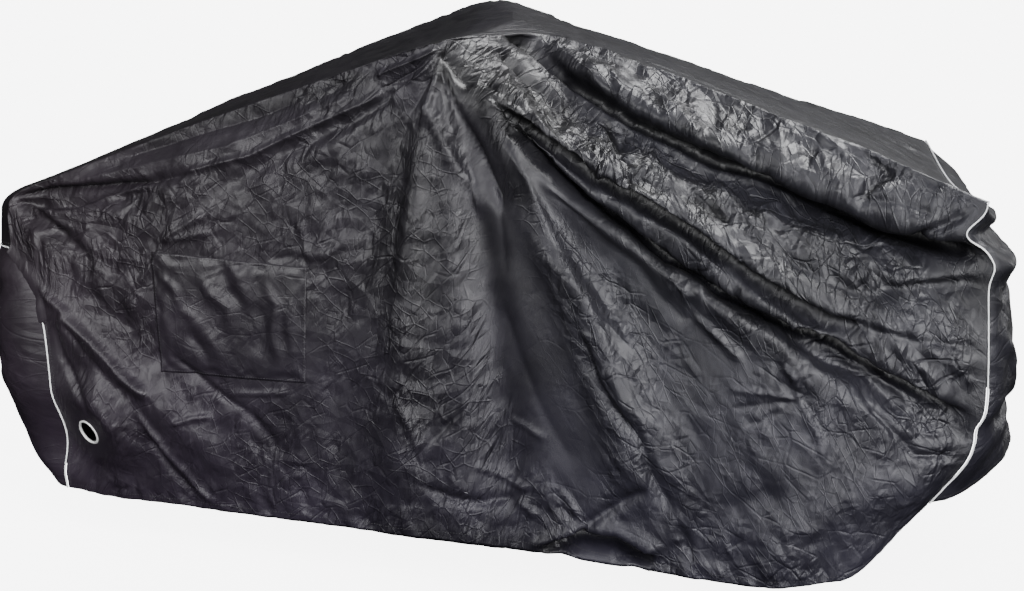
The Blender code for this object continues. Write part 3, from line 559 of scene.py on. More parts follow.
# Patch: grid step, lift over the main cloth, how much it swells inside its rim, and the
# puckers along its stitches
PATCH_STEP = 0.0045
PATCH_LIFT = 0.0016
PATCH_EDGE_LIFT = 0.0002
PATCH_BLUR = 12
PATCH_SWELL = 0.004
PATCH_SINK = 0.0006
PATCH_RIM = 0.03
PUCKER_HEIGHT = 0.0018
PUCKER_REACH = 0.012
PUCKER_WAVES = ((95, 2.2, 31), (88, 2.0, 27))
# The patch's own folds: height, width, path in shares of its sides
PATCH_FOLDS = (
    (0.0063, 0.018, ((0.55, 0.98), (0.62, 0.72), (0.75, 0.6))),
    (-0.0047, 0.016, ((0.45, 0.98), (0.5, 0.76), (0.6, 0.62))),
    (0.0068, 0.014, ((0.72, 0.9), (0.82, 0.66), (0.8, 0.4), (0.84, 0.12))),
    (-0.0052, 0.016, ((0.66, 0.8), (0.72, 0.5), (0.7, 0.2))),
    (0.0063, 0.016, ((0.3, 0.9), (0.38, 0.7), (0.52, 0.6), (0.5, 0.35))),
    (0.0052, 0.018, ((0.1, 0.62), (0.25, 0.5), (0.4, 0.28), (0.48, 0.08))),
    (0.0052, 0.012, ((0.92, 0.8), (0.9, 0.5), (0.93, 0.2))),
    (-0.0042, 0.012, ((0.2, 0.4), (0.32, 0.2), (0.36, 0.05))),
    (0.0042, 0.01, ((0.05, 0.85), (0.15, 0.7), (0.18, 0.55))),
)

# Metal ring: how wide it is, radius of its lip, how far its bore is inside the hole, and
# the rest of its section as (radius, height) past the rim and past the bore
RING_WIDE = 0.0056
RING_LIP = 0.0024
RING_IN_HOLE = 0.0015
RING_RIM = ((-0.0006, 0.0004), (0.0, -0.0002), (-0.001, -0.0032))
RING_BACK = ((0.0006, -0.0034), (0.0, -0.0020))
RING_STEPS = 72

# The surroundings are brighter above and in front: direction, range there, strengths
WORLD_BRIGHT_SIDE = (0.10, -0.55, 0.83)
WORLD = (0.05, 0.90, 0.01, 0.60)
WORLD_COLOUR = (0.93, 0.94, 1.0, 1)
FLOOR_SIZE = 90.0
FLOOR_COLOUR = (0.86, 0.86, 0.86, 1)
FLOOR_GLOW = 6.0
# Even light without highlights: name, strength, angle, direction it comes from
SOFT_SUNS = (
    ("front", 6.6, 55.0, (0.2, -0.87, 0.48)),
    ("back", 6.5, 70.0, (-0.3, 1.0, 0.02)),
)
# Highlights only: name, place, target, size, power
LIGHTS = (
    ("key", (3.3, -3.6, 1.4), (0.2, -0.3, -0.5), (2.4, 2.4), 262.0),
    ("top", (2.0, 0.8, 2.75), (0.6, -0.3, -0.1), (2.2, 1.8), 320.0),
    ("left", (-3.2, -4.0, 1.5), (-0.8, -0.2, -0.3), (2.2, 2.0), 165.0),
    ("behind", (5.5, 4.0, 0.4), (0.2, 0.4, -0.6), (2.4, 2.0), 60.0),
    ("low", (1.5, -3.0, -0.95), (0.65, -0.5, -0.85), (2.4, 0.5), 42.0),
)
# Camera: place, tilt and turn in degrees, focal length and sensor in millimetres
CAMERA_PLACE = (0.651, -4.931, 0.478)
CAMERA_TILT, CAMERA_TURN = 77.58, 7.45
CAMERA_LENS, CAMERA_SENSOR = 79.2, 36.0
CAMERA_REACH = 300


def smooth(knots, values, at):
    """Curve through the values at the knots that never overshoots them."""
    knots = np.asarray(knots, float)
    values = np.asarray(values, float)
    at = np.clip(np.asarray(at, float), knots[0], knots[-1])
    step = np.diff(knots).reshape((-1,) + (1,) * (values.ndim - 1))
    rise = np.diff(values, axis=0) / step
    slope = np.zeros_like(values)
    same = rise[:-1] * rise[1:] > 0
    mean = 2 * rise[:-1] * rise[1:] / np.where(same, rise[:-1] + rise[1:], 1.0)
    slope[1:-1] = np.where(same, mean, 0.0)
    slope[0] = rise[0]
    slope[-1] = rise[-1]
    cell = np.clip(np.searchsorted(knots, at, side="right") - 1, 0, len(knots) - 2)
    width = step[cell]
    t = ((at - knots[cell]).reshape(width.shape)) / width
    a = (1 + 2 * t) * (1 - t) ** 2
    b = t * (1 - t) ** 2
    c = t * t * (3 - 2 * t)
    d = t * t * (t - 1)
    out = a * values[cell] + b * width * slope[cell]
    return out + c * values[cell + 1] + d * width * slope[cell + 1]


def taut(knots, values, at, reach=1.0):
    """Straight from knot to knot, as taut cloth lies, with the corners eased."""
    knots = np.asarray(knots, float)
    at = np.asarray(at, float)
    reach = np.minimum(reach, np.minimum(at - knots[0], knots[-1] - at))
    out = 0.0
    for share in (-1.0, -0.5, 0.0, 0.5, 1.0):
        place = at + share * reach
        cell = np.clip(np.searchsorted(knots, place, side="right") - 1, 0, len(knots) - 2)
        t = (place - knots[cell]) / (knots[cell + 1] - knots[cell])
        t = t.reshape(t.shape + (1,) * (values.ndim - 1))
        out = out + (values[cell] * (1 - t) + values[cell + 1] * t) / 5
    return out


def section_lines():
    """The nine lines from near hem to far hem at each section, and the section places."""
    lines = []
    place = [0]
    for roof, wall in zip(ROOF, WALLS):
        near_edge = roof[2:5]
        middle = (roof[5], 0.0, roof[6])
        far_edge = roof[7:10]
        shoulder, belly, hem = wall[1:4], wall[4:7], wall[7:10]
        lean = far_edge[0] - near_edge[0]
        mirror = []
        for share, (x, y, z) in ((0.7, shoulder), (0.3, belly), (0.1, hem)):
            mirror.append((x + share * lean, -y, z))
        lines.append([hem, belly, shoulder, near_edge, middle, far_edge] + mirror)
        place.append(place[-1] + roof[1])
    return np.array(lines), np.array(place[:-1], float)


def fold_path(name):
    """Path of a main fold of the near wall."""
    return np.array(next(row[5] for row in NEAR_FOLDS if row[0] == name))


def loft(columns, around):
    """Points of the smooth cover at each (around, column).

    The rows at FOLD_ROWS run along their folds, so that coarse rows still hold them.
    """
    lines, place = section_lines()
    at_columns = taut(place, lines, columns)
    around = np.asarray(around, float)
    near = around[around <= 3]
    roof = around[(around > 3) & (around <= 5)]
    far = around[around > 5]
    wall_knots = (0, 1, 2, 3)
    sides = []
    for block in at_columns:
        warp_from = [0.0, 3.0]
        warp_to = [0.0, 3.0]
        for name, row, low, high in FOLD_ROWS:
            path = fold_path(name)
            search = np.linspace(low, high, 24)
            x, _, z = smooth(wall_knots, block[0:4], search).T
            above = z - np.interp(x, path[:, 0], path[:, 1])
            meets = np.interp(0.0, above, search)
            share = ease((x.mean() - path[0, 0] + FOLD_ROW_START) / FOLD_ROW_START)
            warp_from.insert(1, row)
            warp_to.insert(1, row + (meets - row) * share)
        walk = np.interp(near, warp_from, warp_to)
        column = [smooth(wall_knots, block[0:4], walk)]
        column.append(smooth((3, 4, 5), block[3:6], roof))
        column.append(smooth((5, 6, 7, 8), block[5:9], far))
        sides.append(np.concatenate(column))
    return np.array(sides).swapaxes(0, 1)


def normals_of(grid):
    """Unit normal at each point of a grid."""
    normal = np.cross(np.gradient(grid, axis=1), np.gradient(grid, axis=0))
    return normal / np.maximum(np.linalg.norm(normal, axis=2, keepdims=True), 1e-12)


def ease(t):
    """From 0 to 1 with a soft start and end."""
    t = np.clip(t, 0.0, 1.0)
    return t * t * (3 - 2 * t)


def before(place, limit):
    """1 well before a limit and 0 past it; the limit is (place, reach)."""
    return ease((limit[0] - place) / limit[1])


def after(place, limit):
    """0 before a limit and 1 well past it."""
    return ease((place - limit[0]) / limit[1])


def fading(along, ends):
    """1 along a path but for its ends, which are given as shares of the path."""
    return ease(along / ends[0]) * ease((1 - along) / ends[1])


def held(distance, least, reach):
    """Share that is left of a shape at a distance from where the cloth is held."""
    return least + (1 - least) * ease(distance / reach)


def distance_to(path, first, second):
    """Signed distance of points to a path, left of it positive, and the share along it."""
    path = np.array(path, float)
    lengths = np.linalg.norm(np.diff(path, axis=0), axis=1)
    best = np.full(first.shape, 1e9)
    side = np.zeros(first.shape)
    along = np.zeros(first.shape)
    run = 0.0
    for start, end, length in zip(path[:-1], path[1:], lengths):
        way = (end - start) / length
        dx = first - start[0]
        dy = second - start[1]
        t = np.clip(dx * way[0] + dy * way[1], 0, length)
        away = np.hypot(dx - t * way[0], dy - t * way[1])
        nearer = away < best
        turn = np.sign(way[0] * dy - way[1] * dx)
        best = np.where(nearer, away, best)
        side = np.where(nearer, turn, side)
        along = np.where(nearer, run + t, along)
        run += length
    return best * side, along / run


def fold_shape(path, depth, start, end, above, first, second, fade=0.20):
    """Height of one soft trough (depth < 0) or ridge (depth > 0) at the points."""
    away, along = distance_to(path, first, second)
    width = start + (end - start) * along
    width = np.where(away > 0, width * above, width)
    height = depth * ease(along / fade) * ease((1.04 - along) / fade)
    return height * np.exp(-((away / width) ** 2))


def relief(points, around):
    """How far the folds move each point along the normal."""
    x, y, z = points[..., 0], points[..., 1], points[..., 2]
    a = np.broadcast_to(np.asarray(around, float)[:, None], x.shape)
    near = np.zeros(x.shape)
    for _, depth, start, end, above, path in NEAR_FOLDS:
        near += fold_shape(path, depth, start, end, above, x, z)
    far = np.zeros(x.shape)
    for top, low, depth, width in FAR_FOLDS:
        line = ((top, 1.15), (low, 0.05))
        far += fold_shape(line, depth, 0.6 * width, width, 1.0, x, z, fade=0.3)
    roof = np.zeros(x.shape)
    for depth, width, path in ROOF_FOLDS:
        roof += fold_shape(path, depth, 0.5 * width, width, 1.0, x, y, fade=0.3)
    on_near = ease((3.15 - a) / 0.3)
    on_far = ease((a - 5.0) / 0.8)
    on_roof = ease((a - 3.0) / 0.6) * ease((5.0 - a) / 0.6)
    return near * on_near + far * on_far + roof * on_roof


def eyelet_plane(grid):
    """The eyelet's facing, and height over its plane and offset in it at each point."""
    facing = np.array(EYELET_FACES) / np.linalg.norm(EYELET_FACES)
    offset = grid - np.array(EYELET)
    height = offset @ facing
    return facing, height, offset - height[..., None] * facing


def cover_grid(columns, around):
    """Outer face of the hung cover between its two piped seams."""
    grid = loft(columns, around)
    grid = grid + normals_of(grid) * relief(grid, around)[..., None]
    to_seam = ease(1 - (ROOF_COLUMNS - columns) / 5.0)
    near = (around < 3.2)[:, None]
    for height, pull, reach in SEAM_PULL:
        share = np.exp(-(((grid[..., 2] - height) / reach) ** 2))
        grid[..., 0] -= near * pull * share * to_seam[None, :]
    facing, height, level = eyelet_plane(grid)
    away = np.linalg.norm(level, axis=2)
    flat = ease((EYELET_BLEND - away) / (EYELET_BLEND - EYELET_FLAT))
    flat = flat * (around < EYELET_ROW)[:, None]
    return grid - (flat * height)[..., None] * facing


def end_panel(seam, bulge, hem_rise, outward):
    """Panel inside a seam: rows from hem to top, columns from the near to the far side.

    seam holds the near side (hem to top), the top edge and the far side (top to hem).
    """
    near, top, far = seam
    rows = len(near)
    columns = len(top)
    p = np.linspace(0, 1, columns)[None, :, None]
    q = np.linspace(0, 1, rows)[:, None, None]
    low = near[0] + (far[0] - near[0]) * p
    low = low + np.array([0, 0, hem_rise]) * (1 - np.abs(2 * p - 1) ** 5)
    upright = near[:, None] * (1 - p) + far[:, None] * p
    level = low * (1 - q) + top[None] * q
    corner = (near[0] * (1 - p) + far[0] * p) * (1 - q)
    corner = corner + (near[-1] * (1 - p) + far[-1] * p) * q
    grid = upright + level - corner
    share, size = np.array(bulge).T
    height = (upright[:, :1, 2:] - near[0, 2]) / (near[-1, 2] - near[0, 2])
    size = smooth(share, size, height.ravel()).reshape(rows, 1, 1)
    grid[..., 0:1] += outward * size * (1 - np.abs(2 * p - 1) ** 3.5) ** 0.6
    return grid


def unit(vectors):
    """The same vectors at length 1."""
    return vectors / np.linalg.norm(vectors, axis=-1, keepdims=True)


def inward(edge, inner):
    """Unit steps from an edge towards the next line of points, square to the edge."""
    along = unit(np.gradient(edge, axis=0))
    way = inner - edge
    return unit(way - along * np.sum(way * along, axis=1, keepdims=True))


def facets(first, second, cell, turn, stretch, seed):
    """Crumpled height at the points: flat facets between random creases, about -1 to 1."""
    rng = np.random.default_rng(seed)
    c, s = math.cos(turn), math.sin(turn)
    p = (first * c + second * s) / (cell * stretch)
    q = (second * c - first * s) / cell
    low = np.floor([p.min(), q.min()]) - 1
    high = np.ceil([p.max(), q.max()]) + 2
    count = (high - low).astype(int)
    x, y = np.meshgrid(np.arange(count[0]), np.arange(count[1]), indexing="ij")
    x = x + low[0] + rng.uniform(-FACET_JITTER, FACET_JITTER, x.shape)
    y = y + low[1] + rng.uniform(-FACET_JITTER, FACET_JITTER, y.shape)
    z = np.clip(rng.normal(0, FACET_SPREAD, x.shape), -FACET_MOST, FACET_MOST)
    points = np.stack([x, y, z], axis=-1).reshape(-1, 3).tolist()
    turned = rng.random(x.shape) < 0.5
    faces = []
    for i, j in np.ndindex(*(count - 1)):
        a = i * count[1] + j
        b, d = a + count[1], a + 1
        faces += [(a, b, b + 1), (a, b + 1, d)] if turned[i, j] else [(a, b, d), (b, b + 1, d)]
    tree = BVHTree.FromPolygons(points, faces)
    down = Vector((0, 0, -1))
    out = np.zeros(p.size)
    for index, (a, b) in enumerate(zip(p.ravel(), q.ravel())):
        hit = tree.ray_cast((a, b, 5.0), down)[0]
        out[index] = 0.0 if hit is None else hit.z
    return out.reshape(p.shape)


def pinches(first, second, count, seed):
    """Short sharp creases, scattered: height at the points."""
    rng = np.random.default_rng(seed)
    across = first.mean(axis=0)
    out = np.zeros(first.shape)
    for _ in range(count):
        middle = rng.integers(0, first.shape[0]), rng.integers(0, first.shape[1])
        a, b = first[middle], second[middle]
        length = rng.uniform(*PINCH_LENGTH)
        turn = rng.choice(PINCH_TURNS) + rng.normal(0, PINCH_SWAY)
        width = rng.uniform(*PINCH_WIDTH)
        height = rng.choice((-1, 1)) * rng.uniform(*PINCH_HEIGHT)
        near = np.nonzero(np.abs(across - a) < length + PINCH_MARGIN)[0]
        block = slice(near[0], near[-1] + 1) if len(near) else slice(0, 0)
        dx, dy = first[:, block] - a, second[:, block] - b
        along = np.abs(dx * math.cos(turn) + dy * math.sin(turn)) / length
        away = np.abs(dy * math.cos(turn) - dx * math.sin(turn)) / width
        out[:, block] += height * np.clip(1 - along, 0, 1) ** 0.8 * np.clip(1 - away, 0, 1) ** 2
    return out


def pinned(path, depth, start, end, first, second):
    """One listed crease: a sharper trough or ridge than fold_shape."""
    away, along = distance_to(path, first, second)
    width = CREASE_WIDER * (start + (end - start) * along)
    taper = ease(along / CREASE_ENDS + 0.25) * ease((1.02 - along) / CREASE_ENDS)
    return depth * taper * np.clip(1 - np.abs(away) / width, 0, 1) ** 2 * CREASE_DEEPER


def tucked(drop, rise, sink, reach, path, first, second):
    """One overhanging fold: shift down the cloth and height at the points."""
    away, along = distance_to(path, first, second)
    narrow = held(along, *TUCK_START)
    away = away / (reach * narrow)
    taper = fading(along, TUCK_ENDS) * narrow
    lip = after(away, TUCK_LIP_START) * before(away, TUCK_LIP_END)
    trough = np.exp(-(((away + TUCK_TROUGH[0]) / TUCK_TROUGH[1]) ** 2))
    return taper * drop * lip, taper * (rise * lip - sink * trough)


def crumple(first, second, facet_share, seed, count):
    """All the fine crumple of a cloth, from its flat coordinates."""
    out = np.zeros(first.shape)
    for cell, height, turn, stretch, number in FACETS:
        out += height * facets(first, second, cell, turn, stretch, number + seed)
    return (out + pinches(first, second, count, PINCH_SEED + seed)) * facet_share


def placed(name, data):
    """An object made from its data, in the scene."""
    obj = bpy.data.objects.new(name, data)
    bpy.context.scene.collection.objects.link(obj)
    return obj


def add_mesh(name, points, faces, material):
    """A smooth-shaded mesh object of the given points and faces."""
    mesh = bpy.data.meshes.new(name)
    mesh.from_pydata([tuple(point) for point in points], [], faces)
    mesh.materials.append(material)
    mesh.polygons.foreach_set("use_smooth", [True] * len(mesh.polygons))
    return placed(name, mesh)


def grid_mesh(name, grid, material, flat, share, outward, painted_shade=1.0, keep=None):
    """Mesh of a grid of points, with the flat cloth coordinates as its UV map."""
    rows, columns = grid.shape[:2]
    index = np.arange(rows * columns).reshape(rows, columns)
    quads = np.stack([index[:-1, :-1], index[:-1, 1:], index[1:, 1:], index[1:, :-1]], axis=-1)
    quads = quads.reshape(-1, 4)
    if keep is not None:
        quads = quads[keep.ravel()]
    if np.dot(normals_of(grid)[rows // 2, columns // 2], outward) < 0:
        quads = quads[:, ::-1]
    points = grid.reshape(-1, 3) - np.array(HANDLEBAR)
    used = np.unique(quads)
    renumber = np.zeros(len(points), int)
    renumber[used] = np.arange(len(used))
    obj = add_mesh(name, points[used], renumber[quads].tolist(), material)
    layer = obj.data.uv_layers.new(name="cloth")
    corners = np.array([loop.vertex_index for loop in obj.data.loops])
    layer.data.foreach_set("uv", flat.reshape(-1, 2)[used][corners].ravel())
    # The second attribute holds the painted shade that darkens the cloth's colour
    for key, values in (("crumple", share), ("painted_shade", painted_shade)):
        values = np.broadcast_to(values, (rows, columns)).ravel()[used].astype(np.float32)
        obj.data.attributes.new(key, "FLOAT", "POINT").data.foreach_set("value", values)
    return obj


def distance_run(line):
    """Distance from the first point of a line to each of its points."""
    return np.concatenate([[0], np.cumsum(np.linalg.norm(np.diff(line, axis=0), axis=1))])


def at_distance(line, run, where):
    """Points or vectors of a line at the given distances along it."""
    return np.stack([np.interp(where, run, line[:, k]) for k in range(3)], axis=1)


def resample(line, count):
    """The same line with evenly spaced points."""
    run = distance_run(line)
    return at_distance(line, run, np.linspace(0, run[-1], count))


def even_places(line_places, lines, count):
    """Values of a parameter that are evenly spaced along a set of lines."""
    steps = np.linalg.norm(np.diff(lines, axis=0), axis=-1)
    steps = steps.reshape(len(steps), -1).mean(axis=1)
    run = np.concatenate([[0], np.cumsum(steps)])
    return np.interp(np.linspace(0, run[-1], count), run, line_places)


def main_places():
    """Places of the main cloth's columns along it and of its rows round it."""
    coarse = np.linspace(0, ROOF_COLUMNS, COARSE_COLUMNS)
    mid = loft(coarse, SPACING_ROWS).swapaxes(0, 1)
    near = np.linspace(0, 3, NEAR_ROWS, endpoint=False)
    roof = np.linspace(3, 5, ROOF_ROWS, endpoint=False)
    far = np.linspace(5, 8, FAR_ROWS)
    return even_places(coarse, mid, COLUMNS), np.concatenate([near, roof, far])


def flat_places(base):
    """Where each point of the main cloth lies along it and round it, and its length."""
    steps = np.linalg.norm(np.diff(base, axis=0), axis=2)
    girth = np.vstack([np.zeros(COLUMNS), np.cumsum(steps, axis=0)])
    girth -= girth[NEAR_ROWS]
    run = np.linalg.norm(np.diff(base[NEAR_ROWS // 2], axis=0), axis=1).sum()
    length = np.broadcast_to(np.linspace(0, 1, COLUMNS)[None, :], girth.shape) * run
    return length, girth, run


def shaded(path, part, width, ends, x, z, near):
    """Factor on the cloth's colour that paints shade along a path of the near side."""
    away, along = distance_to(path, x, z)
    return 1 + (part - 1) * np.exp(-((away / width) ** 2)) * near * fading(along, ends)


def near_looks(x, z, around):
    """What the tables give each point of the main cloth.

    That is its share of the near side, the height of the listed creases, and the
    shares of crumple and of colour that it keeps.
    """
    near = before(around, NEAR_END)[:, None]
    roof = (after(around, ROOF_START) * before(around, ROOF_END))[:, None]
    behind = ease((HANDLEBAR[0] - BEHIND - x) / BEHIND)
    hand = np.zeros(x.shape)
    for depth, start, end, path in CREASES:
        hand += pinned(path, depth, start, end, x, z)
    share = np.ones(x.shape)
    for part, width, path in ZONES:
        away, _ = distance_to(path, x, z)
        share *= 1 + (part - 1) * np.exp(-((away / width) ** 4)) * near
    share *= 1 - roof * (ROOF_CALM[0] + ROOF_CALM[1] * behind)
    # Painted shade: less of the cloth's colour is kept on the roof, more so behind the handlebar, and in the
    # deep folds and short creases
    painted_shade = 1 - roof * (ROOF_PAINTED_SHADE[0] + ROOF_PAINTED_SHADE[1] * behind)
    for part, width, path in PAINTED_SHADES:
        painted_shade *= shaded(path, part, width, SHADE_ENDS, x, z, near)
    for part, depth, path in NEEDLES:
        hand += pinned(path, depth, NEEDLE_WIDTH, NEEDLE_WIDTH, x, z)
        painted_shade *= shaded(path, part, NEEDLE_WIDTH, NEEDLE_ENDS, x, z, near)
    return near, hand, share, painted_shade


def main_grid():
    """The hung and crumpled main cloth: points, flat coordinates, rows, crumple, painted shade."""
    columns, around = main_places()
    base = loft(columns, around)
    grid = cover_grid(columns, around)
    length, girth, run = flat_places(base)
    x, z = grid[..., 0], grid[..., 2]
    near, hand, share, painted_shade = near_looks(x, z, around)
    seam = np.minimum(length, run - length)
    share *= held(seam, *HELD_CRUMPLE)
    eyelet = np.linalg.norm(grid - np.array(EYELET), axis=2)
    free = after(eyelet, HELD_EYELET)
    down = -unit(np.gradient(base, axis=0))
    firm = near * held(seam, *HELD_TUCKS)
    tucks = [tucked(*tuck, x, z) for tuck in TUCKS]
    grid = grid + down * (sum(drop for drop, _ in tucks) * firm)[..., None]
    grid = grid + normals_of(base) * (sum(height for _, height in tucks) * firm)[..., None]
    move = hand * near * free * held(seam, *HELD_CREASES)
    move += crumple(length, girth, 1.0, 0, PINCHES) * share * free
    grid = grid + normals_of(grid) * move[..., None]
    flat = np.stack([length, girth], axis=-1)
    share *= EYELET_SHARE + (1 - EYELET_SHARE) * free
    return grid, flat, around, share, painted_shade


class Nodes:
    """The nodes of a material or world, with short ways to add to them.

    end is the node that shows the surface or the surroundings. Inputs are plain values or
    the outputs of other nodes.
    """

    def __init__(self, owner, end):
        owner.use_nodes = True
        self.owner = owner
        self.tree = owner.node_tree
        self.end = self.tree.nodes[end]

    def put(self, node, key, value):
        """Links a socket to an input, or writes a plain value there."""
        if isinstance(value, bpy.types.NodeSocket):
            self.tree.links.new(value, node.inputs[key])
        else:
            node.inputs[key].default_value = value

    def add(self, kind, inputs=(), **settings):
        """A new node with its settings and inputs."""
        node = self.tree.nodes.new("ShaderNode" + kind)
        for key, value in settings.items():
            setattr(node, key, value)
        for key, value in dict(inputs).items():
            self.put(node, key, value)
        return node

    def place(self):
        return self.add("TexCoord").outputs["Object"]

    def attribute(self, name):
        return self.add("Attribute", attribute_name=name).outputs["Fac"]

    def math(self, operation, *values):
        return self.add("Math", enumerate(values), operation=operation).outputs[0]

    def vector(self, operation, *values):
        return self.add("VectorMath", enumerate(values), operation=operation).outputs[0]

    def scaled(self, vector, share):
        return self.add("VectorMath", {0: vector, "Scale": share}, operation="SCALE").outputs[0]

    def within(self, value, low, high):
        """From 0 to 1 as the value goes from low to high."""
        inputs = {"Value": value, "From Min": low, "From Max": high}
        return self.add("MapRange", inputs).outputs[0]

    def noise(self, place, scale, space="3D", detail=1.0, rough=0.5):
        inputs = {"Vector": place, "Scale": scale, "Detail": detail, "Roughness": rough}
        return self.add("TexNoise", inputs, noise_dimensions=space).outputs

    def cells(self, place, scale, turn, stretch, feature):
        """Random cells on the flat cloth, turned and stretched."""
        inputs = {"Vector": place, "Rotation": (0, 0, turn), "Scale": (stretch, 1, 1)}
        place = self.add("Mapping", inputs, vector_type="TEXTURE").outputs[0]
        inputs = {"Vector": place, "Scale": scale}
        return self.add("TexVoronoi", inputs, voronoi_dimensions="2D", feature=feature).outputs

    def bumped(self, height, distance, strength, normal=None):
        """The normal as the height field tilts it."""
        inputs = {"Height": height, "Distance": distance, "Strength": strength}
        if normal is not None:
            inputs["Normal"] = normal
        return self.add("Bump", inputs).outputs["Normal"]


def shader(name, base, rough, dark=0.6, metallic=0.0):
    """Nodes of a material with uneven roughness, and its blotchy colour."""
    nodes = Nodes(bpy.data.materials.new(name), "Principled BSDF")
    nodes.put(nodes.end, "Metallic", metallic)
    place = nodes.place()
    blotch = nodes.noise(place, BLOTCH_SCALE, detail=2.0, rough=0.6)["Fac"]
    ramp = nodes.add("ValToRGB", {"Fac": blotch})
    for element, spot, share in zip(ramp.color_ramp.elements, BLOTCH_RANGE, (dark, 1.0)):
        element.position = spot
        element.color = (*[share * value for value in base], 1)
    worn = nodes.noise(place, WEAR_SCALE)["Fac"]
    worn = nodes.math("MULTIPLY_ADD", worn, WEAR_SPREAD, rough - WEAR_SPREAD / 2)
    nodes.put(nodes.end, "Roughness", worn)
    return nodes, ramp.outputs["Color"]


def plain_material(name, base, rough, dark, metallic=0.0):
    """Trim: tape, thread or metal with a fine grain."""
    nodes, colour = shader(name, base, rough, dark, metallic)
    grain = nodes.noise(nodes.place(), GRAIN_SCALE)["Fac"]
    nodes.put(nodes.end, "Base Color", colour)
    nodes.put(nodes.end, "Normal", nodes.bumped(grain, GRAIN_DEPTH, GRAIN_STRENGTH))
    return nodes.owner


def painted_shade_and_tint(nodes, colour):
    """The colour with painted shade in the folds and a painted tint of the light along and up the cover."""
    colour = nodes.scaled(colour, nodes.attribute("painted_shade"))
    axes = nodes.add("SeparateXYZ", {0: nodes.place()}).outputs
    for axis, (reach, (first, last)) in (("X", PAINTED_TINT_ALONG), ("Z", PAINTED_TINT_UP)):
        part = nodes.within(axes[axis], *reach)
        painted_tint = nodes.vector("MULTIPLY_ADD", part, np.subtract(last, first), first)
        colour = nodes.vector("MULTIPLY", colour, painted_tint)
    return colour


def lean_of_cells(nodes, cloth):
    """How far each cell of the patterns leans the surface its own way."""
    lean = (0, 0, 0)
    for scale, tilt, turn, stretch in TILTS:
        way = nodes.cells(cloth, scale, turn, stretch, "F1")["Color"]
        lean = nodes.vector("ADD", lean, (-0.5 * tilt,) * 3)
        lean = nodes.vector("MULTIPLY_ADD", way, (tilt,) * 3, lean)
    return lean


def height_of_folds(nodes, cloth):
    """Height of facets between sharp folds, and of thin fold lines."""
    # Raised or sunk hipped shapes over each cell, the finer ones only in patches.
    spacing, *limits = CELL_PATCHES
    some = nodes.within(nodes.noise(cloth, spacing, "2D")["Fac"], *limits)
    height = 0.0
    for scale, slope, turn, stretch, everywhere in FOLD_CELLS:
        distance = nodes.cells(cloth, scale, turn, stretch, "DISTANCE_TO_EDGE")["Distance"]
        if not everywhere:
            distance = nodes.math("MULTIPLY", distance, some)
        height = nodes.math("MULTIPLY_ADD", distance, slope / scale, height)
    # Lines along the edges of other cells, each set in its own patches.
    spacing, *limits = LINE_PATCHES
    patches = nodes.noise(cloth, spacing, "2D")["Color"]
    patches = nodes.add("SeparateColor", {"Color": patches}).outputs
    for channel, (scale, slope, turn, stretch) in zip(("Red", "Green", "Blue"), FOLD_LINES):
        some = nodes.within(patches[channel], *limits)
        distance = nodes.cells(cloth, scale, turn, stretch, "DISTANCE_TO_EDGE")["Distance"]
        line = nodes.math("MULTIPLY", nodes.math("MINIMUM", distance, LINE_HALF_WIDTH), some)
        height = nodes.math("MULTIPLY_ADD", line, slope / scale, height)
    return height


def weave(nodes, flat):
    """Height of the crossed threads."""
    bands = []
    for direction in ("X", "Y"):
        inputs = {"Vector": flat, "Scale": WEAVE_BANDS}
        wave = nodes.add("TexWave", inputs, wave_type="BANDS", bands_direction=direction)
        bands.append(wave.outputs["Fac"])
    return nodes.math("MULTIPLY", *bands)


def cloth_material(name, base, rough, crumple_scale):
    """Coated cloth: tilted facets and sharp creases on the flat cloth, over a fine weave."""
    nodes, colour = shader(name, base, rough)
    # Base colour: the painted shade of the folds and the painted tint of the light are multiplied in
    nodes.put(nodes.end, "Base Color", painted_shade_and_tint(nodes, colour))
    flat = nodes.add("UVMap", uv_map="cloth").outputs["UV"]
    drift = nodes.noise(flat, DRIFT_SCALE, "2D")["Color"]
    cloth = nodes.vector("MULTIPLY_ADD", drift, (DRIFT, DRIFT, 0.0), flat)
    amount = nodes.math("MULTIPLY", nodes.attribute("crumple"), crumple_scale)
    lean = nodes.scaled(lean_of_cells(nodes, cloth), amount)
    normal = nodes.add("NewGeometry").outputs["Normal"]
    normal = nodes.vector("NORMALIZE", nodes.vector("ADD", normal, lean))
    height = nodes.math("MULTIPLY", height_of_folds(nodes, cloth), amount)
    normal = nodes.bumped(height, 1.0, 1.0, normal)
    normal = nodes.bumped(weave(nodes, flat), WEAVE_DEPTH, WEAVE_STRENGTH, normal)
    nodes.put(nodes.end, "Normal", normal)
    return nodes.owner


def stitch_row(line, normals):
    """Points and faces of a row of stitches that lies along a line of points."""
    run = distance_run(line)
    starts = np.arange(STITCH_PITCH, run[-1] - STITCH_PITCH, STITCH_PITCH)
    first, last = at_distance(line, run, starts), at_distance(line, run, starts + STITCH_LENGTH)
    up = unit(at_distance(unit(normals), run, starts + STITCH_LENGTH / 2))
    points, faces = [], []
    for a, b, side, out in zip(first, last, np.cross(up, unit(last - first)), up):
        base = len(points)
        points += [a - out * STITCH_SINK, b - out * STITCH_SINK]
        for t in (0.25, 0.75):
            centre = a * (1 - t) + b * t
            half = side * STITCH_WIDE / 2
            points += [centre + half, centre + out * STITCH_WIDE * 0.6, centre - half]
        faces += [(base, base + 2, base + 3), (base, base + 3, base + 4)]
        faces += [(base + 2, base + 5, base + 6, base + 3), (base + 3, base + 6, base + 7, base + 4)]
        faces += [(base + 1, base + 6, base + 5), (base + 1, base + 7, base + 6)]
    return points, faces


def merged(parts):
    """Points and faces of several bodies as one list of each."""
    points, faces = [], []
    for some, sides in parts:
        base = len(points)
        points += list(some)
        faces += [tuple(base + corner for corner in side) for side in sides]
    return np.array(points), faces


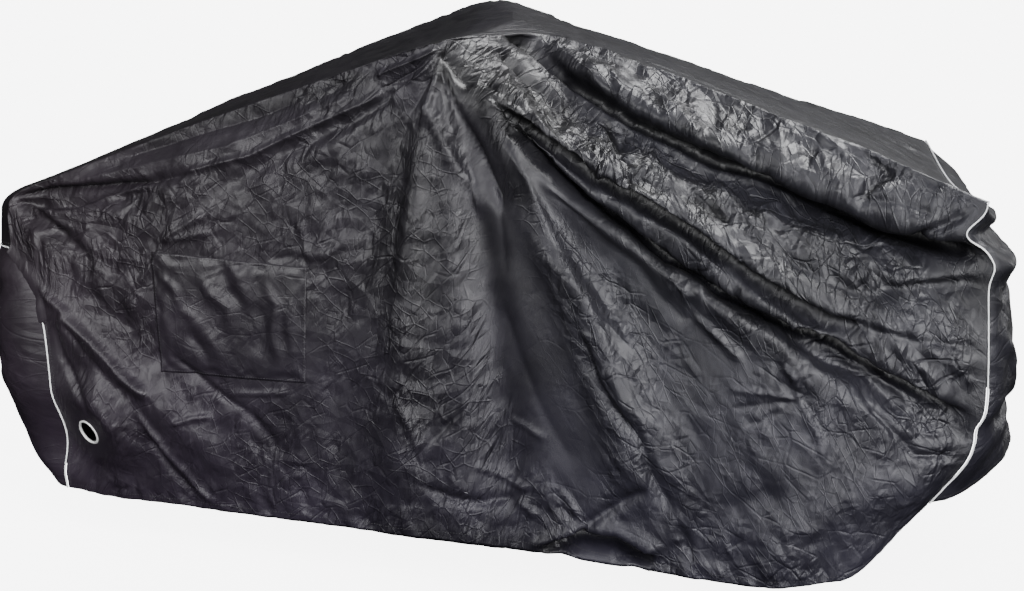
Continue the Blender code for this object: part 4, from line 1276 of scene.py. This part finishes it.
def piping(seam, body_side):
    """Points and faces of a flattened cord along a seam."""
    across = unit(body_side)
    normal = np.cross(unit(np.gradient(seam, axis=0)), across)
    half_wide, half_deep = PIPE_HALF_WIDTH * PIPE_CORD[0], PIPE_HALF_DEPTH * PIPE_CORD[1]
    points = []
    for row, (centre, wide, deep) in enumerate(zip(seam, across, normal)):
        swell = sum((size * math.sin(row * pace) for size, pace in PIPE_SWELLS), 1)
        for side in range(PIPE_SIDES):
            angle = 2 * math.pi * side / PIPE_SIDES
            offset = wide * (half_wide * swell * math.cos(angle))
            points.append(centre + offset + deep * (half_deep * math.sin(angle)))
    faces = [tuple(range(PIPE_SIDES))[::-1]]
    for ring in range(len(seam) - 1):
        for side in range(PIPE_SIDES):
            a, b = ring * PIPE_SIDES + side, ring * PIPE_SIDES + (side + 1) % PIPE_SIDES
            faces.append((a, b, b + PIPE_SIDES, a + PIPE_SIDES))
    faces.append(tuple((len(seam) - 1) * PIPE_SIDES + side for side in range(PIPE_SIDES)))
    return np.array(points), faces


def panel_grid(seam, outward, bulge, rise, size, creases, gap, crumpled):
    """Fine end panel inside a seam line of the main cloth, given from near hem to far hem."""
    rows, columns = size
    near = resample(seam[: NEAR_ROWS + 1], rows)
    top = resample(seam[NEAR_ROWS : NEAR_ROWS + ROOF_ROWS + 1], columns)
    far = resample(seam[NEAR_ROWS + ROOF_ROWS :][::-1], rows)
    grid = end_panel((near, top, far), bulge, rise, outward)
    y, z = grid[..., 1], grid[..., 2]
    rim = np.minimum(np.linspace(0, 1, columns)[None, :], np.linspace(1, 0, columns)[None, :])
    rim = np.minimum(rim * np.ptp(y), (np.linspace(1, 0, rows) * np.ptp(z))[:, None])
    move = crumple(y + 3, z, crumpled, PANEL_SEED + outward, PINCHES // 8)
    for depth, width, path in creases:
        move += fold_shape(path, depth, width, width, 1.0, y, z, fade=0.25)
    normals = normals_of(grid)
    normals *= np.sign(normals[..., :1] * outward + 1e-9)
    grid = grid + normals * (move * ease(rim / PANEL_RIM))[..., None]
    stand = gap * SEAM_SHOWN
    grid[:-1, 0] += unit(grid[:-1, 1] - grid[:-1, 0]) * stand
    grid[:-1, -1] += unit(grid[:-1, -2] - grid[:-1, -1]) * stand
    grid[-1] += unit(grid[-2] - grid[-1]) * stand
    return grid, np.stack([y, z], axis=-1)


def make_panel(name, seam, material):
    """An end panel with a turned-in hem, and its hem's row of stitches."""
    outward, bulge, rise, size, creases, gap, crumpled, share = PANELS[name]
    panel, flat = panel_grid(seam, outward, bulge, rise, size, creases, gap, crumpled)
    face = normals_of(panel)
    face *= np.sign(face[len(face) // 2, face.shape[1] // 2, 0] * outward)
    turned = [panel[row] - face[row] * HEM_THICK for row in (2, 1)]
    whole = np.concatenate([turned, panel])
    spots = np.concatenate([flat[[2, 1]], flat])
    piece = grid_mesh(name, whole, material, spots, share, (outward, 0, 0))
    return piece, (panel[2] + face[2] * STITCH_LIFT, face[2])


def close_seam(grid, normals, outward):
    """Draws an end of the main cloth back to its piping; gives the cord and the stitches."""
    column = 0 if outward < 0 else -1
    line, out = grid[:, column].copy(), normals[:, column]
    to_body = inward(line, grid[:, column - 3 * outward])
    cord = piping(line + out * PIPE_LIFT, to_body)
    grid[:, column] = line + to_body * SEAM_BODY * SEAM_SHOWN
    if outward < 0:
        low, high, blend = COVERED_PIPING
        over = ease((line[:, 2] - low) / blend) * ease((high - line[:, 2]) / blend)
        over = (over * (np.arange(len(line)) < NEAR_ROWS))[:, None]
        back = to_body * (SEAM_BODY + PIPE_HALF_WIDTH * COVER_LIFTS[0])
        grid[:, 0] += over * (out * PIPE_HALF_DEPTH * COVER_LIFTS[0] - back)
        grid[:, 1] += over * normals[:, 1] * PIPE_HALF_DEPTH * COVER_LIFTS[1]
    return cord, (line + to_body * SEAM_STITCH + out * STITCH_LIFT, out)


def hem_turned(values, inner):
    """Rows of the main cloth, with the turned-in rows before and after them."""
    back = [-1 - row for row in HEM_TURN[::-1]]
    return np.concatenate([inner[list(HEM_TURN)], values, inner[back]])


def ring_mesh(name, material):
    """Rounded metal eyelet with a raised lip, about +Z, placed on the cloth's plane."""
    bore = EYELET_HOLE - RING_IN_HOLE
    section = []
    for step in range(9):
        angle = math.pi * step / 8
        section.append((bore + RING_LIP * (1 - math.cos(angle)), RING_LIP * math.sin(angle)))
    section += [(bore + RING_WIDE + out, height) for out, height in RING_RIM]
    section += [(bore + out, height) for out, height in RING_BACK]
    count = len(section)
    points, faces = [], []
    for step in range(RING_STEPS):
        angle = 2 * math.pi * step / RING_STEPS
        after = (step + 1) % RING_STEPS
        for side, (radius, height) in enumerate(section):
            end = (side + 1) % count
            points.append((radius * math.cos(angle), radius * math.sin(angle), height))
            here, there = step * count, after * count
            faces.append((here + side, there + side, there + end, here + end))
    obj = add_mesh(name, points, faces, material)
    turn = Vector(EYELET_FACES).normalized().to_track_quat("Z", "Y").to_matrix().to_4x4()
    obj.data.transform(Matrix.Translation(Vector(EYELET) - Vector(HANDLEBAR)) @ turn)
    scrap = bmesh.new()
    scrap.from_mesh(obj.data)
    bmesh.ops.recalc_face_normals(scrap, faces=scrap.faces)
    scrap.to_mesh(obj.data)
    scrap.free()
    return obj


def eyelet_hole(grid, around):
    """Draws the points near the eyelet's rim onto a circle; says which cells stay."""
    _, height, level = eyelet_plane(grid)
    away = np.linalg.norm(level, axis=2)
    near = (around < EYELET_ROW)[:, None] & (np.abs(height) < EYELET_DEEP)
    rim = EYELET_HOLE + EYELET_RIM
    pull = near & (np.abs(away - rim) < EYELET_PULL)
    grid[pull] += (level * ((rim - away) / np.maximum(away, 1e-6))[..., None])[pull]
    inside = near & (away < rim - EYELET_PULL) | pull
    return ~(inside[:-1, :-1] & inside[1:, :-1] & inside[:-1, 1:] & inside[1:, 1:])


def make_cover(material):
    """The main cloth; gives it with its seam lines, cords and rows of stitches."""
    grid, flat, around, share, painted_shade = main_grid()
    lines = [grid[:, 0].copy(), grid[:, -1].copy()]
    normals = normals_of(grid)
    row, column = LOW_NEAR
    if normals[row, column, 1] > 0:
        normals = -normals
    cords, stitches = zip(*[close_seam(grid, normals, outward) for outward in (-1, 1)])
    keep = eyelet_hole(grid, around)
    whole = hem_turned(grid, grid - normals * HEM_THICK)
    spots, shares, painted_shades = [hem_turned(values, values) for values in (flat, share, painted_shade)]
    keep = np.pad(keep, ((len(HEM_TURN), len(HEM_TURN)), (0, 0)), constant_values=True)
    cover = grid_mesh("cover_cloth", whole, material, spots, shares, (0, -0.2, 1), painted_shades, keep)
    hems = [(grid[row] + normals[row] * STITCH_LIFT, normals[row]) for row in (3, -4)]
    return cover, lines, cords, [*stitches, *hems]


def patch_grid(tree, wide, high):
    """The sewn patch on the built main cloth: points outside it, from rays along Y."""
    corners = np.array(PATCH)
    s = np.linspace(0, 1, int(round(wide / PATCH_STEP)) + 1)[None, :, None]
    t = np.linspace(0, 1, int(round(high / PATCH_STEP)) + 1)[:, None, None]
    side = (corners[3] * (1 - t) + corners[0] * t) * (1 - s)
    side = side + (corners[2] * (1 - t) + corners[1] * t) * s
    points = np.zeros(side.shape[:2] + (3,))
    normals = np.zeros(points.shape)
    for place in np.ndindex(side.shape[:2]):
        x, z = side[place]
        start = Vector((x - HANDLEBAR[0], -1.0, z - HANDLEBAR[2]))
        spot, normal = tree.ray_cast(start, Vector((0, 1, 0)))[:2]
        points[place] = np.array(spot) + np.array(HANDLEBAR)
        normals[place] = np.array(normal) * (-1 if normal.y > 0 else 1)
    return points, normals, s[..., 0], t[..., 0]


def blurred(values, times):
    """Grid of vectors, evened out with its neighbours."""
    for _ in range(times):
        wide = np.pad(values, ((1, 1), (1, 1), (0, 0)), mode="edge")
        values = (wide[:-2, 1:-1] + wide[2:, 1:-1] + wide[1:-1, :-2] + wide[1:-1, 2:] + values) / 5
    return values


def patch_lift(x, y, wide, high):
    """Height of the patch over the main cloth: soft folds inside, puckers at the stitches."""
    lift = np.zeros(x.shape)
    for depth, width, path in PATCH_FOLDS:
        line = [(a * wide, b * high) for a, b in path]
        lift += fold_shape(line, depth, width, width, 1.0, x, y, fade=0.3)
    rim = np.minimum(np.minimum(x, wide - x), np.minimum(y, high - y))
    pucker = PUCKER_HEIGHT
    for place, (pace, sway, drift) in zip((x, y), PUCKER_WAVES):
        pucker = pucker * np.sin(pace * place + sway * np.sin(drift * place))
    pucker = pucker * np.exp(-((rim - PUCKER_REACH) / PUCKER_REACH) ** 2)
    lift = (lift + PATCH_SWELL) * ease(rim / PATCH_RIM) + pucker
    return np.maximum(lift, -PATCH_SINK) + PATCH_LIFT


def rimmed(values):
    """A grid with its outer rows and columns doubled."""
    return np.pad(values, ((1, 1), (1, 1), (0, 0)), mode="edge")


def make_patch(cover, material):
    """The sewn patch over the main cloth, and the four rows of stitches round it."""
    verts = [vert.co.copy() for vert in cover.data.vertices]
    tree = BVHTree.FromPolygons(verts, [tuple(face.vertices) for face in cover.data.polygons])
    wide = np.linalg.norm(np.subtract(PATCH[1], PATCH[0]))
    high = np.linalg.norm(np.subtract(PATCH[3], PATCH[0]))
    points, out, s, t = patch_grid(tree, wide, high)
    out = unit(blurred(out, PATCH_BLUR))
    flat = np.stack([s * wide + 0 * t, t * high + 0 * s], axis=-1)
    face = points + out * patch_lift(flat[..., 0], flat[..., 1], wide, high)[..., None]
    shell = rimmed(points + out * PATCH_EDGE_LIFT)
    shell[1:-1, 1:-1] = face
    patch = grid_mesh("side_patch_cloth", shell, material, rimmed(flat), 1.0, (0, -1, 0))
    between = slice(1, -1)
    rows = []
    for edge in ((1, between), (between, -2), (-2, between), (between, 1)):
        rows.append((face[edge] + out[edge] * PATCH_STITCH_LIFT, out[edge]))
    return patch, rows


def make_stitches(name, rows, material):
    """One mesh of all the stitches along the given rows of points and normals."""
    points, faces = merged([stitch_row(line, normals) for line, normals in rows])
    return add_mesh(name, points - np.array(HANDLEBAR), faces, material)


def set_floor():
    """Pale floor that glows only for the camera."""
    bpy.ops.mesh.primitive_plane_add(size=FLOOR_SIZE, location=(0, 0, -HANDLEBAR[2]))
    floor = bpy.context.object
    floor.name = "floor"
    nodes = Nodes(bpy.data.materials.new("pale_floor"), "Principled BSDF")
    for key, value in (
        ("Base Color", FLOOR_COLOUR),
        ("Emission Color", (1, 1, 1, 1)),
        ("Emission Strength", FLOOR_GLOW),
        ("Roughness", 1.0),
        ("Specular IOR Level", 0.0),
    ):
        nodes.put(nodes.end, key, value)
    floor.data.materials.append(nodes.owner)
    floor.visible_glossy = False
    floor.visible_diffuse = False


def set_surroundings():
    """Cool even surroundings, brighter on one side."""
    nodes = Nodes(bpy.data.worlds.new("surroundings"), "Background")
    nodes.put(nodes.end, "Color", WORLD_COLOUR)
    inputs = {0: nodes.add("TexCoord").outputs["Generated"], 1: WORLD_BRIGHT_SIDE}
    facing = nodes.add("VectorMath", inputs, operation="DOT_PRODUCT").outputs["Value"]
    inputs = dict(zip(("Value", "From Min", "From Max", "To Min", "To Max"), (facing, *WORLD)))
    nodes.put(nodes.end, "Strength", nodes.add("MapRange", inputs).outputs[0])
    bpy.context.scene.world = nodes.owner


def set_lights():
    """Area lights for the highlights and wide suns for the even light."""
    for name, place, target, size, power in LIGHTS:
        data = bpy.data.lights.new(name, "AREA")
        data.shape = "RECTANGLE"
        data.size, data.size_y = size
        data.energy = power
        light = placed(name, data)
        light.location = place
        light.rotation_euler = (Vector(target) - Vector(place)).to_track_quat("-Z", "Y").to_euler()
        light.visible_camera = False
        light.visible_diffuse = False
    for name, energy, angle, direction in SOFT_SUNS:
        data = bpy.data.lights.new(name, "SUN")
        data.energy, data.angle = energy, math.radians(angle)
        light = placed(name, data)
        light.rotation_euler = Vector(direction).to_track_quat("Z", "Y").to_euler()
        light.visible_glossy = False


def set_camera():
    """Camera where the photograph was taken from."""
    data = bpy.data.cameras.new("camera")
    data.lens, data.sensor_width = CAMERA_LENS, CAMERA_SENSOR
    data.clip_end = CAMERA_REACH
    camera = placed("camera", data)
    camera.location = CAMERA_PLACE
    camera.rotation_euler = (math.radians(CAMERA_TILT), 0, math.radians(CAMERA_TURN))
    bpy.context.scene.camera = camera


def main():
    cloth = cloth_material("coated_cloth", (0.0170, 0.0152, 0.0190), 0.45, 1.0)
    patch_cloth = cloth_material("patch_cloth", (0.0155, 0.0138, 0.0175), 0.42, 0.35)
    tape = plain_material("reflective_tape", (0.88, 0.89, 0.90), 0.40, 0.88)
    thread = plain_material("thread", (0.028, 0.027, 0.030), 0.6, 0.8)
    metal = plain_material("satin_metal", (0.84, 0.84, 0.83), 0.34, 0.92, metallic=0.3)

    cover, lines, cords, stitches = make_cover(cloth)
    ends = []
    for name, line in zip(PANELS, lines):
        piece, hem = make_panel(name, line, cloth)
        ends.append(piece)
        stitches.append(hem)
    patch, patch_rows = make_patch(cover, patch_cloth)
    patch_thread = make_stitches("patch_stitches", patch_rows, thread)
    cloth_thread = make_stitches("seam_stitches", stitches, thread)
    ribbons = []
    for name, (points, faces) in zip(("rear_piping_tape", "front_piping_tape"), cords):
        ribbons.append(add_mesh(name, points - np.array(HANDLEBAR), faces, tape))
    ring = ring_mesh("eyelet_ring", metal)

    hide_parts("near_side", "roof", "far_side", "lock_strip")
    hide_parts("rear_panel")
    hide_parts("front_panel")
    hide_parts("rear_piping")
    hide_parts("front_piping")
    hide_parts("side_patch")
    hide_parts("lock_eyelet")
    for piece, slot in (
        (cover, "cover_cloth"),
        (ends[0], "cover_cloth"),
        (ends[1], "cover_cloth"),
        (patch, "patch_cloth"),
        (ribbons[0], "reflective_piping"),
        (ribbons[1], "reflective_piping"),
        (ring, "eyelet_metal"),
        (patch_thread, "patch_cloth"),
        (cloth_thread, "cover_cloth"),
    ):
        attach(piece, "root")
    set_floor()
    set_surroundings()
    set_lights()
    set_camera()


main()
